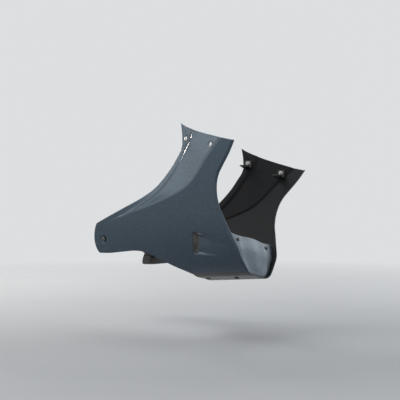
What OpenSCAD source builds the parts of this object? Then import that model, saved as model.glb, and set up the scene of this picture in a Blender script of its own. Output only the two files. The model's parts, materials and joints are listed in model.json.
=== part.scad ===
// Belly pan of a sport motorcycle: two moulded side cowls that meet on a
// narrow keel, a chin panel that closes the nose, foil heat shields inside,
// and the stays, screws, nuts, collars and rubbers that hold it to the engine.
// X points forward, Y to the rider's left, Z up. The keel lies on Z = 0.

/* [Overall] */
// Length from the tail to the front corner
pan_l = 594; // [540:1:680]
// Height from the keel to the upper tip
pan_h = 455; // [410:1:520]
// Half width across the upper edges
top_half_w = 212; // [190:1:245]
// Half width of the flat keel
keel_half_w = 25; // [22:1:32]

/* [Moulded wall] */
// Wall of the cowls
wall = 2.8; // [2:0.1:3.6]
// How far the band above the character line leans in, per mm
shoulder_slope = 0.25; // [0.1:0.01:0.4]
// Height of the small step at the character line
line_step = 3; // [1:0.1:4]
// Depth of the sunk strip along the upper rear edge
strip_sink = 4; // [2:0.1:6]
// Width of the sunk strip along its lower run
strip_w = 13; // [8:0.5:18]
// Extra width of the sunk strip at the upper tip
strip_flare = 27; // [10:1:30]
// Inward roll of the front lip
lip_roll = 4; // [2:0.1:6]

/* [Vent] */
// Width of the vent slot
slot_w = 17; // [12:0.5:22]
// Height of the vent slot
slot_h = 64; // [48:1:70]
// How far the top of the vent slot leans forward, in degrees
slot_lean = 11; // [0:0.5:16]
// Length of the wedge that leads the air into the slot
scoop_l = 108; // [80:1:120]
// Depth of the wedge at the slot
scoop_d = 13; // [6:0.5:16]

/* [Keel joint] */
// Where the keel seam lies, left of the centre line
seam_y = 10; // [8:0.5:14]
// Gap along the seam
seam_gap = 0.8; // [0.4:0.1:1.5]
// Width of the tongue that laps inside the seam
tongue_lap = 20; // [16:1:24]

/* [Fasteners] */
// Diameter of the screws
screw_d = 6; // [5:0.5:8]
// Diameter of a button head
head_d = 13.5; // [11:0.5:16]
// Height of a button head
head_h = 3.4; // [2.5:0.1:4.5]
// Thickness of the steel stays
stay_t = 3; // [2:0.1:4]
// Width of the steel stays
stay_w = 24; // [20:1:30]
// How far the stays reach inward
stay_reach = 38; // [25:1:50]
// Bore for the screws that hold the pan to the engine
mount_bore = 8.5; // [6.5:0.5:10.5]

/* [Linings] */
// Thickness of the heat shields
shield_t = 1.5; // [1:0.1:2.5]
// Thickness of the chin panel
chin_t = 2.5; // [2:0.1:3.5]
// How far the chin panel sits behind the lip
chin_setback = 9; // [6:0.5:14]

/* [Hidden] */
gap = 0.3;
hole_clear = 0.6;
nose_x = 0.475 * pan_l;
tip = [0.1 * pan_l, pan_h];
front_corner = [0.498 * pan_l, 0.829 * pan_h];
tail_x = -0.5 * pan_l;
keel_rear_x = 0.131 * pan_l;
// Outline in side view, each point a share of the length and of the height
upper_edge = [[-0.462, 0.37], [-0.36, 0.415], [-0.272, 0.455], [-0.147, 0.514], [-0.047, 0.578],
              [0.035, 0.672], [0.088, 0.76], [0.12, 0.835], [0.116, 0.92], [0.1, 1]];
lower_edge = [[-0.475, 0.169], [-0.4, 0.165], [-0.313, 0.169], [-0.215, 0.171], [-0.148, 0.156],
              [-0.056, 0.11], [0.005, 0.071], [0.071, 0.037], [0.118, 0.012]];
front_edge = [[0.475, 0.012], [0.474, 0.04], [0.463, 0.103], [0.453, 0.176], [0.424, 0.266],
              [0.399, 0.347], [0.379, 0.417], [0.37, 0.491], [0.374, 0.565], [0.39, 0.624],
              [0.416, 0.673], [0.463, 0.754], [0.498, 0.829]];
line_path = [[0.47, 0.885], [0.433, 0.864], [0.402, 0.829], [0.367, 0.787], [0.316, 0.721], [0.259, 0.637],
             [0.19, 0.565], [0.088, 0.512], [-0.034, 0.468], [-0.152, 0.435], [-0.286, 0.4], [-0.5, 0.32]];
tail_bulge = 18;
top_sag = 7;
rows_rear = 20;
rows_corner = 3;
rows_keel = 8;
rows_front = 18;
band_cols = [3, 1, 5, 2, 12];
rivet_head_h = 2.4;
rivet_d = 8;
rivet_x = [nose_x - 82, keel_rear_x + 12];
chin_clip = [74, 104];
clip_d = 6;
recess_r = head_d / 2 + 3.75;
recess_lip = 0.8;
// Rubber in the tail holes and the collar in it; touch is left between faces that are screwed together
touch = 0.1;
grommet_bore = screw_d + 2.6;
grommet_groove = 1.4;
grommet_flange = 4.2;
grommet_t = 1.6;
collar_flange = 2.6;
collar_top = 2 * gap + grommet_t + 1;
collar_end = wall + gap + grommet_t + 0.2;
// Stays: run of the strap beside the screw, radius of its bend, and the bore's place from its end
stay_half = 11;
stay_bend = 5;
stay_foot = 12;
nut_flange = screw_d + 8;
nut_hex = screw_d + 5.5;
nut_h = [1.4, 4.1];
screw_end = 8;
socket = 4.6;
// Tongue of the keel: its root on the left flat, its step over the seam, and its ends along the keel
tongue_root = 10;
tongue_sink = 0.4;
tongue_step = 1.2;
tongue_ends = [8, 20];
lift = rivet_head_h + gap;
$fn = 48;

// Section: half width and height for a station q, 0 at the keel's edge and 1 at the top
function keel_rate() = (top_half_w - keel_half_w) * 0.9;
function half_w(q) = q < 0 ? keel_half_w + keel_rate() * q
    : keel_half_w + (top_half_w - keel_half_w) * pow(q, 0.9);
function rise(q) = q < 0 ? 0 : pan_h * q * q;
function station(z) = z <= 0 ? 0 : sqrt(z / pan_h);

// Smooth ramp from 0 to 1
function ramp(t) = t <= 0 ? 0 : t >= 1 ? 1 : t * t * (3 - 2 * t);

// Smooth curve through a list of points, at a share t of its length in points
function curve_at(p, t) = let (n = len(p) - 1, k = min(n - 1, floor(t * n)), f = t * n - k,
    a = p[max(0, k - 1)], b = p[k], c = p[k + 1], d = p[min(n, k + 2)])
    0.5 * (2 * b + (c - a) * f + (2 * a - 5 * b + 4 * c - d) * f * f
        + (3 * b - 3 * c + d - a) * f * f * f);
function sized(p) = [p[0] * pan_l, p[1] * pan_h];
function sampled(p, n) = [for (i = [0:n]) sized(curve_at(p, i / n))];
function seg_gap(p, a, b) = let (ab = b - a, t = max(0, min(1, (p - a) * ab / (ab * ab))))
    norm(p - a - ab * t);
function path_gap(p, path) = min([for (i = [0:len(path) - 2]) seg_gap(p, path[i], path[i + 1])]);

line_pts = sampled(line_path, 16);
upper_pts = sampled(upper_edge, 18);
front_pts = sampled(front_edge, 24);

// Which side of the character line a point lies on: 1 above and behind it
function line_side(p) = let (d = [for (i = [0:len(line_pts) - 2]) seg_gap(p, line_pts[i], line_pts[i + 1])],
    m = min(d), i = [for (k = [0:len(d) - 1]) if (d[k] == m) k][0], e = line_pts[i + 1] - line_pts[i],
    w = p - line_pts[i]) e[0] * w[1] - e[1] * w[0] < 0 ? 1 : -1;

// Vent slot and its wedge, placed from the nose
slot_c = [nose_x - 164, 0.2 * pan_h];
scoop_low = slot_c[1] - slot_h / 2 - 2;
scoop_high = slot_c[1] + slot_h / 2 + 2;
scoop_fall = [14, 40];
scoop_ease = [10, 24];
function slot_x(z) = slot_c[0] + (z - slot_c[1]) * tan(slot_lean);
function scoop(x, z) = let (f = (slot_c[0] + slot_w / 2 + scoop_l - x) / scoop_l, far = 1 - min(1, max(0, f)))
    f <= 0 ? 0 : scoop_d * pow(min(1, f), 1.15) * ramp((x - slot_x(z) + slot_w * 0.45) / (slot_w * 0.7))
        * ramp((z - scoop_low + scoop_fall[0] * far) / scoop_ease[0])
        * ramp((scoop_high - scoop_fall[1] * far - z) / scoop_ease[1]);

// Screw seats as [name, x, z, seat depth], the upper front one set back from the character line
function line_x(z) = lookup(z, [for (p = line_pts) [p[1], p[0]]]);
seats = [["upper_rear", tip[0] + 30, tip[1] - 52, 0],
         ["upper_front", line_x(front_corner[1] - 5) - 25.5, front_corner[1] - 5, 0],
         ["tail", tail_x + 39, 0.257 * pan_h, 3.2]];

// Distance behind the character line, negative in front of it
function behind_line(p) = path_gap(p, line_pts) * line_side(p);
// Width of the sunk strip at a height
function strip_at(z) = strip_w + strip_flare * ramp((z - 0.78 * pan_h) / 70);
line_fall = 7;
strip_fall = 5;

// How far the outer face sinks below the plain section
function sink(x, z) = z <= 0 ? 0 : let (p = [x, z], fade = ramp((x - tail_x - 40) / 190),
    d = behind_line(p),
    shoulder = fade * (line_step * ramp(d / line_fall) + shoulder_slope * max(0, d - line_fall / 2)),
    strip = fade * strip_sink * (1 - ramp((path_gap(p, upper_pts) - strip_at(z)) / strip_fall)),
    lip = lip_roll * (1 - ramp(path_gap(p, front_pts) / 6)) * ramp(z / 30))
    shoulder + strip + lip + scoop(x, z);

// Outward direction of the plain section, in Y and Z, for the right side
function lean(q) = let (h = 0.004, a = max(q, 0.02),
    dy = half_w(a + h) - half_w(a - h), dz = rise(a + h) - rise(a - h), n = norm([dy, dz]))
    q <= 0 ? [0, -1] : q < 0.02 ? let (m = [-dz / n, -dy / n] * (q / 0.02) + [0, -1] * (1 - q / 0.02)) m / norm(m)
    : [-dz / n, -dy / n] + [0, 0];
// A point of the right outer face, sunk by its forms
function face_pt(x, q) = let (v = lean(q), s = sink(x, rise(q)))
    [x, -half_w(q) - v[0] * s, rise(q) - v[1] * s];
function face_dir(x, q) = let (a = face_pt(x + 1.5, q) - face_pt(x - 1.5, q),
    b = face_pt(x, q + 0.004) - face_pt(x, q - 0.004), n = cross(a, b)) n / norm(n);
function skin(x, q, depth) = face_pt(x, q) + face_dir(x, q) * -depth;

// Triangles of a grid of points, each cell split along its shorter diagonal
function weave(p, m, n) = [for (i = [0:m - 1], j = [0:n - 1])
    let (a = i * (n + 1) + j, b = a + 1, c = a + n + 2, d = a + n + 1)
    each norm(p[a] - p[c]) < norm(p[b] - p[d]) ? [[a, b, c], [a, c, d]] : [[a, b, d], [b, c, d]]];
function rim(m, n) = concat([for (j = [0:n - 1]) j], [for (i = [0:m - 1]) i * (n + 1) + n],
    [for (j = [n:-1:1]) m * (n + 1) + j], [for (i = [m:-1:1]) i * (n + 1)]);
// Closed sheet between an outer and an inner grid of points
module sheet(outer, inner, m, n) {
    k = len(outer);
    r = rim(m, n);
    faces = weave(outer, m, n);
    back = [for (f = faces) f + [k, k, k]];
    front = [for (f = faces) [f[2], f[1], f[0]]];
    sides = [for (i = [0:len(r) - 1]) let (a = r[i], b = r[(i + 1) % len(r)]) each
        [[b + k, a + k, a], [b, b + k, a]]];
    polyhedron(concat(outer, inner), concat(front, back, sides));
}

// Grid of the cowl in side view: across from the upper edge to the lower edge
function to_q(p) = [p[0], station(p[1])];
function rounded_tail(v) = [-tail_bulge * pow(sin(180 * v), 0.6), 0];
function along(a, b, n, p, q) = [for (i = [1:n]) [a + (b - a) * i / n, p + (q - p) * i / n]];
function cowl_rows(edge_q) = let (u = [0.7, 0.74, 0.84, 0.86], low_end = to_q(sized(lower_edge[8])),
    nose = to_q(sized(front_edge[0])), heel = [keel_rear_x, -edge_q], toe = [nose_x, -edge_q]) concat(
    [for (i = [0:rows_rear]) let (t = i / rows_rear) [u[0] * t, to_q(sized(curve_at(lower_edge, t)))]],
    along(u[0], u[1], rows_corner, low_end, heel), along(u[1], u[2], rows_keel, heel, toe),
    along(u[2], u[3], rows_corner, toe, nose),
    [for (i = [1:rows_front]) let (t = i / rows_front) [u[3] + (1 - u[3]) * t, to_q(sized(curve_at(front_edge, t)))]]);

// Share of the way from a to b at which a falling measure of the point reaches its target
function share_at(a, b, kind, target, lo = 0, hi = 1, n = 12) = let (t = (lo + hi) / 2, p = a + (b - a) * t,
    z = [p[0], rise(p[1])], f = kind == "line" ? behind_line(z) : strip_at(z[1]) - path_gap(z, upper_pts))
    n == 0 ? t : f > target ? share_at(a, b, kind, target, t, hi, n - 1) : share_at(a, b, kind, target, lo, t, n - 1);
function row_shares(a, b) = let (line = share_at(a, b, "line", 0), fall = share_at(a, b, "line", line_fall),
    s1 = min(share_at(a, b, "strip", 0), fall * 0.7), s2 = min(share_at(a, b, "strip", -strip_fall), fall * 0.85),
    k = [0, s1, s2, fall, line, 1])
    concat([for (i = [0:4], j = [0:band_cols[i] - 1]) let (t = j / band_cols[i], w = i == 4 ? 0.75 * t + 0.25 * sin(90 * t) : t)
        k[i] + (k[i + 1] - k[i]) * w], [1]);
cols = band_cols * [1, 1, 1, 1, 1];
function cowl_grid(edge_q) = let (rows = cowl_rows(edge_q), m = len(rows) - 1,
    sag = station(pan_h) - station(pan_h - top_sag))
    [for (i = [0:m]) let (r = rows[i], a = to_q(sized(curve_at(upper_edge, r[0]))), v = row_shares(a, r[1]),
        tail = pow(max(0, 1 - i / 8), 2), top = pow(max(0, 1 - (m - i) / 8), 2))
        for (j = [0:cols]) a + (r[1] - a) * v[j] + tail * rounded_tail(v[j]) - [0, top * sag * sin(180 * pow(v[j], 0.6))]];

module skin_plate(stations, m, n, outer_depth, inner_depth) {
    sheet([for (s = stations) skin(s[0], s[1], outer_depth)],
        [for (s = stations) skin(s[0], s[1], inner_depth)], m, n);
}

// Frame at a seat: Z along the outward direction of the face, X running downward and in
function seat_pt(s) = skin(s[1], station(s[2]), s[3]);
function seat_dir(s) = face_dir(s[1], station(s[2]));
module at_seat(s) {
    n = seat_dir(s);
    u = cross(cross(n, [0, 0, -1]), n);
    x = u / norm(u);
    y = cross(n, x);
    p = seat_pt(s);
    multmatrix([[x[0], y[0], n[0], p[0]], [x[1], y[1], n[1], p[1]], [x[2], y[2], n[2], p[2]], [0, 0, 0, 1]])
        children();
}

module side(name) {
    if (name == "left") mirror([0, 1, 0]) children();
    else children();
}

module slot_cut() {
    translate([slot_c[0], 0, slot_c[1]]) rotate([90, slot_lean, 0]) linear_extrude(2 * top_half_w)
        union() {
            square([slot_w, slot_h - slot_w], center = true);
            for (k = [-1, 1]) translate([0, k * (slot_h - slot_w) / 2]) circle(d = slot_w);
        }
}

// One cowl, its keel flat running to the seam at seam_at on its own side's axis
module cowl(seam_at) {
    m = rows_rear + 2 * rows_corner + rows_keel + rows_front;
    difference() {
        union() {
            skin_plate(cowl_grid((keel_half_w + seam_at) / keel_rate()), m, cols, 0, wall);
            chin_tab();
            at_seat(seats[2]) translate([0, 0, -wall])
                cylinder(r = recess_r + wall, h = wall + seats[2][3] - recess_lip);
        }
        at_seat(seats[2]) cylinder(r = recess_r, h = 14);
        slot_cut();
        for (s = seats) at_seat(s) translate([0, 0, -14])
            cylinder(d = s[3] > 0 ? grommet_bore + 2 * (grommet_groove + gap) : screw_d + hole_clear, h = 24);
        chin_hole();
    }
}
module right_cowl() {
    color([0.3, 0.35, 0.4]) difference() {
        cowl(seam_y - seam_gap / 2);
        rivet_holes();
    }
}
module left_cowl() {
    color([0.3, 0.35, 0.4]) difference() {
        union() {
            side("left") cowl(-seam_y - seam_gap / 2);
            tongue();
        }
        rivet_holes();
    }
}
// Tongue of the left cowl, stepped up by the wall to lap over the right one
module tongue() {
    seam = seam_y + seam_gap / 2;
    step = seam + tongue_step;
    low = wall - tongue_sink;
    high = 2 * wall + gap;
    translate([keel_rear_x + tongue_ends[0], 0, 0]) rotate([90, 0, 90])
        linear_extrude(nose_x - keel_rear_x - tongue_ends[0] - tongue_ends[1])
            polygon([[step + tongue_root, low], [step + tongue_root, high], [seam - tongue_lap, high],
                     [seam - tongue_lap, wall + gap], [step, wall + gap], [step + 1.5, low]]);
}
module rivet_holes() {
    for (x = rivet_x) translate([x, 0, -2]) cylinder(d = rivet_d + hole_clear, h = 20);
}

// Chin panel: rows follow the inner faces of the cowls, flat at the sides and bowed in the middle
chin_rows = 12;
chin_cols = 20;
chin_bow = 8;
chin_foot = 18;
chin_gap = 1.3;
function lip_x(z) = lookup(z, [for (p = front_pts) if (p[1] < 0.55 * pan_h) [p[1], p[0]]]);
function chin_x(z, b) = lip_x(z) - chin_setback + chin_bow * ramp((0.6 - abs(b)) / 0.6);
function chin_edge(q) = let (p = skin(nose_x - 40, q, wall + chin_gap)) [-p[1], p[2]];
function chin_pt(q, b, back) = let (e = chin_edge(q)) [chin_x(e[1], b) - back, e[0] * b, e[1]];
module chin_panel() {
    color([0.55, 0.62, 0.68]) difference() {
        union() {
            qs = [for (i = [0:chin_rows]) 0.02 + 0.485 * i / chin_rows];
            sheet([for (q = qs, j = [0:chin_cols]) chin_pt(q, 2 * j / chin_cols - 1, 0)],
                [for (q = qs, j = [0:chin_cols]) chin_pt(q, 2 * j / chin_cols - 1, chin_t)], chin_rows, chin_cols);
            translate([0, 0, 2 * wall + 2 * gap]) linear_extrude(chin_t) polygon(concat(
                [[rivet_x[0] - 14, -chin_foot], [rivet_x[0] - 14, chin_foot]],
                [for (k = [5:-1:-5]) let (b = k / 5 * chin_foot / chin_edge(0.08)[0])
                    [chin_x(2 * wall, b) - chin_t / 2, k / 5 * chin_foot]]));
        }
        rivet_holes();
        for (name = ["right", "left"]) side(name) chin_hole();
    }
}
// Tab of the cowl behind the chin panel
module chin_tab() {
    z0 = chin_clip[1] - 11;
    z1 = chin_clip[1] + 7;
    e = half_w(station(z0)) - wall / 2;
    translate([0, -chin_clip[0] + 11, 0]) rotate([90, 0, 0]) linear_extrude(e - chin_clip[0] + 11)
        polygon([for (p = [[0.6, z0], [0.6, z1], [3.1, z1], [3.1, z0]]) [chin_x(p[1], 1) - chin_t - p[0], p[1]]]);
}
module at_chin_clip() {
    slope = atan((lip_x(chin_clip[1] - 8) - lip_x(chin_clip[1] + 8)) / 16);
    translate([chin_x(chin_clip[1], 1), -chin_clip[0], chin_clip[1]]) rotate([0, 90 - slope, 0]) children();
}
module chin_hole() {
    at_chin_clip() translate([0, 0, -16]) cylinder(d = clip_d + hole_clear, h = 26);
}
module push_rivet(head, d, h) {
    rotate_extrude() polygon(concat([[0, 0]], [[d / 2 - 0.6, -h], [d / 2, -h + 1.2], [d / 2, 0], [head / 2, 0]],
        [for (a = [0:15:90]) [head / 2 * cos(a), rivet_head_h * sin(a)]]));
}
module keel_rivet(i) {
    color([0.06, 0.06, 0.07]) translate([rivet_x[i], 0, -gap]) mirror([0, 0, 1])
        push_rivet(16, rivet_d, i == 0 ? 2 * wall + chin_t + 5 : 2 * wall + 5);
}
module chin_rivet(name) {
    color([0.06, 0.06, 0.07]) side(name) at_chin_clip() translate([0, 0, gap]) push_rivet(11, clip_d, 12);
}

// Foil heat shield on the inner face, a patch with eased corners
module heat_shield(name) {
    c = [-0.093 * pan_l, 0.54];
    r = [0.2 * pan_l, 0.085];
    g = [for (i = [0:14], j = [0:8]) let (a = i / 7 - 1, b = 1 - j / 4)
        [c[0] + r[0] * a * (1 - 0.05 * pow(b, 4)), c[1] + r[1] * b * (1 - 0.12 * pow(a, 4))]];
    color([0.75, 0.75, 0.72]) side(name) skin_plate(g, 14, 8, wall + gap, wall + gap + shield_t);
}

// Fastening stacks, measured along the outward direction of each seat
function above(s) = s[3] > 0 ? collar_top + touch : gap;
function below(s) = s[3] > 0 ? collar_end + touch : wall + gap;
module bent_strap(path, t, w) {
    n = len(path) - 1;
    d = [for (i = [0:n]) let (a = path[max(0, i - 1)], b = path[min(n, i + 1)], u = (b - a) / norm(b - a)) [-u[1], u[0]]];
    rotate([90, 0, 0]) translate([0, 0, -w / 2]) linear_extrude(w)
        polygon(concat([for (i = [0:n]) path[i] + d[i] * t / 2], [for (i = [n:-1:0]) path[i] - d[i] * t / 2]));
}
function bend(c, r, a0, a1) = [for (i = [0:5]) c + r * [cos(a0 + (a1 - a0) * i / 5), sin(a0 + (a1 - a0) * i / 5)]];
// Angle stay: one leg under the screw, the other reaching in with its bore
module stay(s, name) {
    z0 = -below(s) - stay_t / 2;
    color([0.12, 0.12, 0.13]) side(name) at_seat(s) difference() {
        bent_strap(concat([[-stay_half, z0]], bend([stay_half, z0 - stay_bend], stay_bend, 90, 0),
            [[stay_half + stay_bend, z0 - stay_reach]]), stay_t, stay_w);
        translate([0, 0, z0 - stay_t]) cylinder(d = screw_d + hole_clear, h = 2 * stay_t);
        translate([stay_half + stay_bend - stay_t, 0, z0 - stay_reach + stay_foot]) rotate([0, 90, 0])
            cylinder(d = mount_bore, h = 2 * stay_t);
    }
}
module nut(s, name) {
    z = -below(s) - stay_t;
    color([0.7, 0.7, 0.68]) side(name) at_seat(s) difference() {
        union() {
            translate([0, 0, z - nut_h[0]]) cylinder(d = nut_flange, h = nut_h[0]);
            translate([0, 0, z - nut_h[0] - nut_h[1]]) cylinder(d = nut_hex, h = nut_h[1] + touch, $fn = 6);
        }
        translate([0, 0, z - 8]) cylinder(d = screw_d + 0.2, h = 12);
    }
}
module bolt(s, name) {
    end = -below(s) - stay_t - screw_end - above(s);
    color([0.8, 0.8, 0.8]) side(name) at_seat(s) translate([0, 0, above(s)]) difference() {
        rotate_extrude() polygon(concat([[0, end], [screw_d / 2 - 0.6, end], [screw_d / 2, end + 0.6],
            [screw_d / 2, 0], [head_d / 2, 0], [head_d / 2, 0.5]],
            [for (a = [10:10:90]) [head_d / 2 * cos(a), 0.5 + (head_h - 0.5) * sin(a)]]));
        translate([0, 0, head_h - 2]) cylinder(d = socket, h = 3, $fn = 6);
    }
}
module tail_grommet(name) {
    r = grommet_bore / 2;
    groove = r + grommet_groove;
    rim = r + grommet_flange;
    low = -wall - gap - grommet_t;
    high = gap + grommet_t;
    color([0.08, 0.08, 0.08]) side(name) at_seat(seats[2]) rotate_extrude()
        polygon([[r, low], [r, high], [rim - 0.6, high], [rim, high - 0.6], [rim, gap],
                 [groove, gap], [groove, -wall - gap], [rim, -wall - gap], [rim, low]]);
}
module tail_collar(name) {
    r = (grommet_bore - gap) / 2;
    flange = r + collar_flange;
    low = 2 * gap + grommet_t;
    color([0.75, 0.75, 0.74]) side(name) at_seat(seats[2]) rotate_extrude()
        polygon([[screw_d / 2 + 0.2, -collar_end], [screw_d / 2 + 0.2, collar_top], [flange, collar_top],
                 [flange, low], [r, low], [r, -collar_end]]);
}

module placed() translate([0, 0, lift]) children();

placed() right_cowl();
placed() left_cowl();
placed() chin_panel();
for (name = ["right", "left"]) {
    placed() heat_shield(name);
    for (s = seats) {
        placed() stay(s, name);
        placed() bolt(s, name);
        placed() nut(s, name);
    }
    placed() tail_grommet(name);
    placed() tail_collar(name);
    placed() chin_rivet(name);
}
placed() keel_rivet(0);  // front_keel_rivet
placed() keel_rivet(1);  // rear_keel_rivet
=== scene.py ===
"""Looks of a motorcycle belly pan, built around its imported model.

The pan is two moulded cowls that meet on a narrow keel, a chin panel that closes the nose, foil
linings, bent stays and their screws. Lengths are in metres. X points forward on the motorcycle,
Y to the rider's left and Z up.
"""

import json
import logging
import math
from collections.abc import Callable
from dataclasses import dataclass, field
from enum import Enum
from functools import cache, partial

import bpy
import numpy as np
from mathutils import Matrix, Vector

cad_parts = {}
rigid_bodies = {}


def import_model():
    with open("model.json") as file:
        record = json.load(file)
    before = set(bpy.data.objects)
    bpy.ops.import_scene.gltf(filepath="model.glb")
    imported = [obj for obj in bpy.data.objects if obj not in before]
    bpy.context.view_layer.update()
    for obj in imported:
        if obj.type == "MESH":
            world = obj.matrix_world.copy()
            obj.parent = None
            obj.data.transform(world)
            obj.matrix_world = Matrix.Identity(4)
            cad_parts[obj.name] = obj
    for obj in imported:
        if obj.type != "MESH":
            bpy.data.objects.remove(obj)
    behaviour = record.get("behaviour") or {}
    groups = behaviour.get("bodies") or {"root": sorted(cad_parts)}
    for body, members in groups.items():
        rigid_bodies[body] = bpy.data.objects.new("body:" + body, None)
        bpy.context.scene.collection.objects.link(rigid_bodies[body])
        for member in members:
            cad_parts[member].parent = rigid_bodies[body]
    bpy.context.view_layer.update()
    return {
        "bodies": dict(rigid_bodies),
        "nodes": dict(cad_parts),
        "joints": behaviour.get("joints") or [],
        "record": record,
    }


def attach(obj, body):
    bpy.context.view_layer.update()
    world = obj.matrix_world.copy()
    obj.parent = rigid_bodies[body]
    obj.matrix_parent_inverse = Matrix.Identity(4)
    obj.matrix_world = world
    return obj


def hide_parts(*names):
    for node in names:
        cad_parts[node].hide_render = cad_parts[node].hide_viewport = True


LOG = logging.getLogger("belly_pan")
ROOT = "root"
KEEL_HOLE = 0.0043
SMOOTH_ANGLE = 35
Array = np.ndarray
Colour = tuple[float, float, float]
Rings = tuple[tuple[float, float], ...]


class Side(Enum):
    """The two hands of the pan: the value is the sign of Y."""

    RIGHT = -1
    LEFT = 1

    @property
    def word(self) -> str:
        """The side's word in the names of its pieces."""
        return self.name.lower()

    @property
    def flip(self) -> tuple[int, int, int]:
        """Factors that take a point of the right side to this side."""
        return 1, -self.value, 1


def ramp(t: Array | float) -> Array:
    """Smooth ramp from 0 to 1."""
    t = np.clip(t, 0.0, 1.0)
    return t * t * (3 - 2 * t)


def unit(vectors: Array) -> Array:
    """Vectors, one a row, at a length of 1."""
    return vectors / np.linalg.norm(vectors, axis=1)[:, None]


def cell_grid(ids: Array) -> Array:
    """Corners of the cells between the points of a grid, by row and column."""
    return np.stack([ids[:-1, :-1], ids[:-1, 1:], ids[1:, 1:], ids[1:, :-1]], axis=-1)


def curve_at(points: Array, t: Array) -> Array:
    """Points of the smooth curve that runs through a list of points.

    Args:
        points: The points that it runs through, one a row.
        t: Shares of its length, counted in points.

    Returns:
        One point for each share.
    """
    n = len(points) - 1
    k = np.minimum(n - 1, np.floor(t * n).astype(int))
    f = (t * n - k)[:, None]
    a, b, c, d = (points[np.clip(k + s, 0, n)] for s in (-1, 0, 1, 2))
    return 0.5 * (2 * b + (c - a) * f + (2 * a - 5 * b + 4 * c - d) * f**2 + (3 * b - 3 * c + d - a) * f**3)


def path_gap(at: Array, path: Array) -> tuple[Array, Array]:
    """Distance from points to a path in the side view, and the side of it that they lie on.

    Args:
        at: Points as X and Z, one a row.
        path: The path's own points.

    Returns:
        The distances, and +1 to the right of the path's direction or -1 to its left.
    """
    a, ab = path[:-1], np.diff(path, axis=0)
    w = at[:, None, :] - a[None]
    t = np.clip((w * ab).sum(-1) / (ab * ab).sum(-1), 0, 1)
    gap = np.linalg.norm(w - ab * t[..., None], axis=-1)
    best = gap.argmin(axis=1)
    rows = np.arange(len(at))
    turn = ab[best, 0] * w[rows, best, 1] - ab[best, 1] * w[rows, best, 0]
    return gap[rows, best], np.where(turn < 0, 1.0, -1.0)


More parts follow.
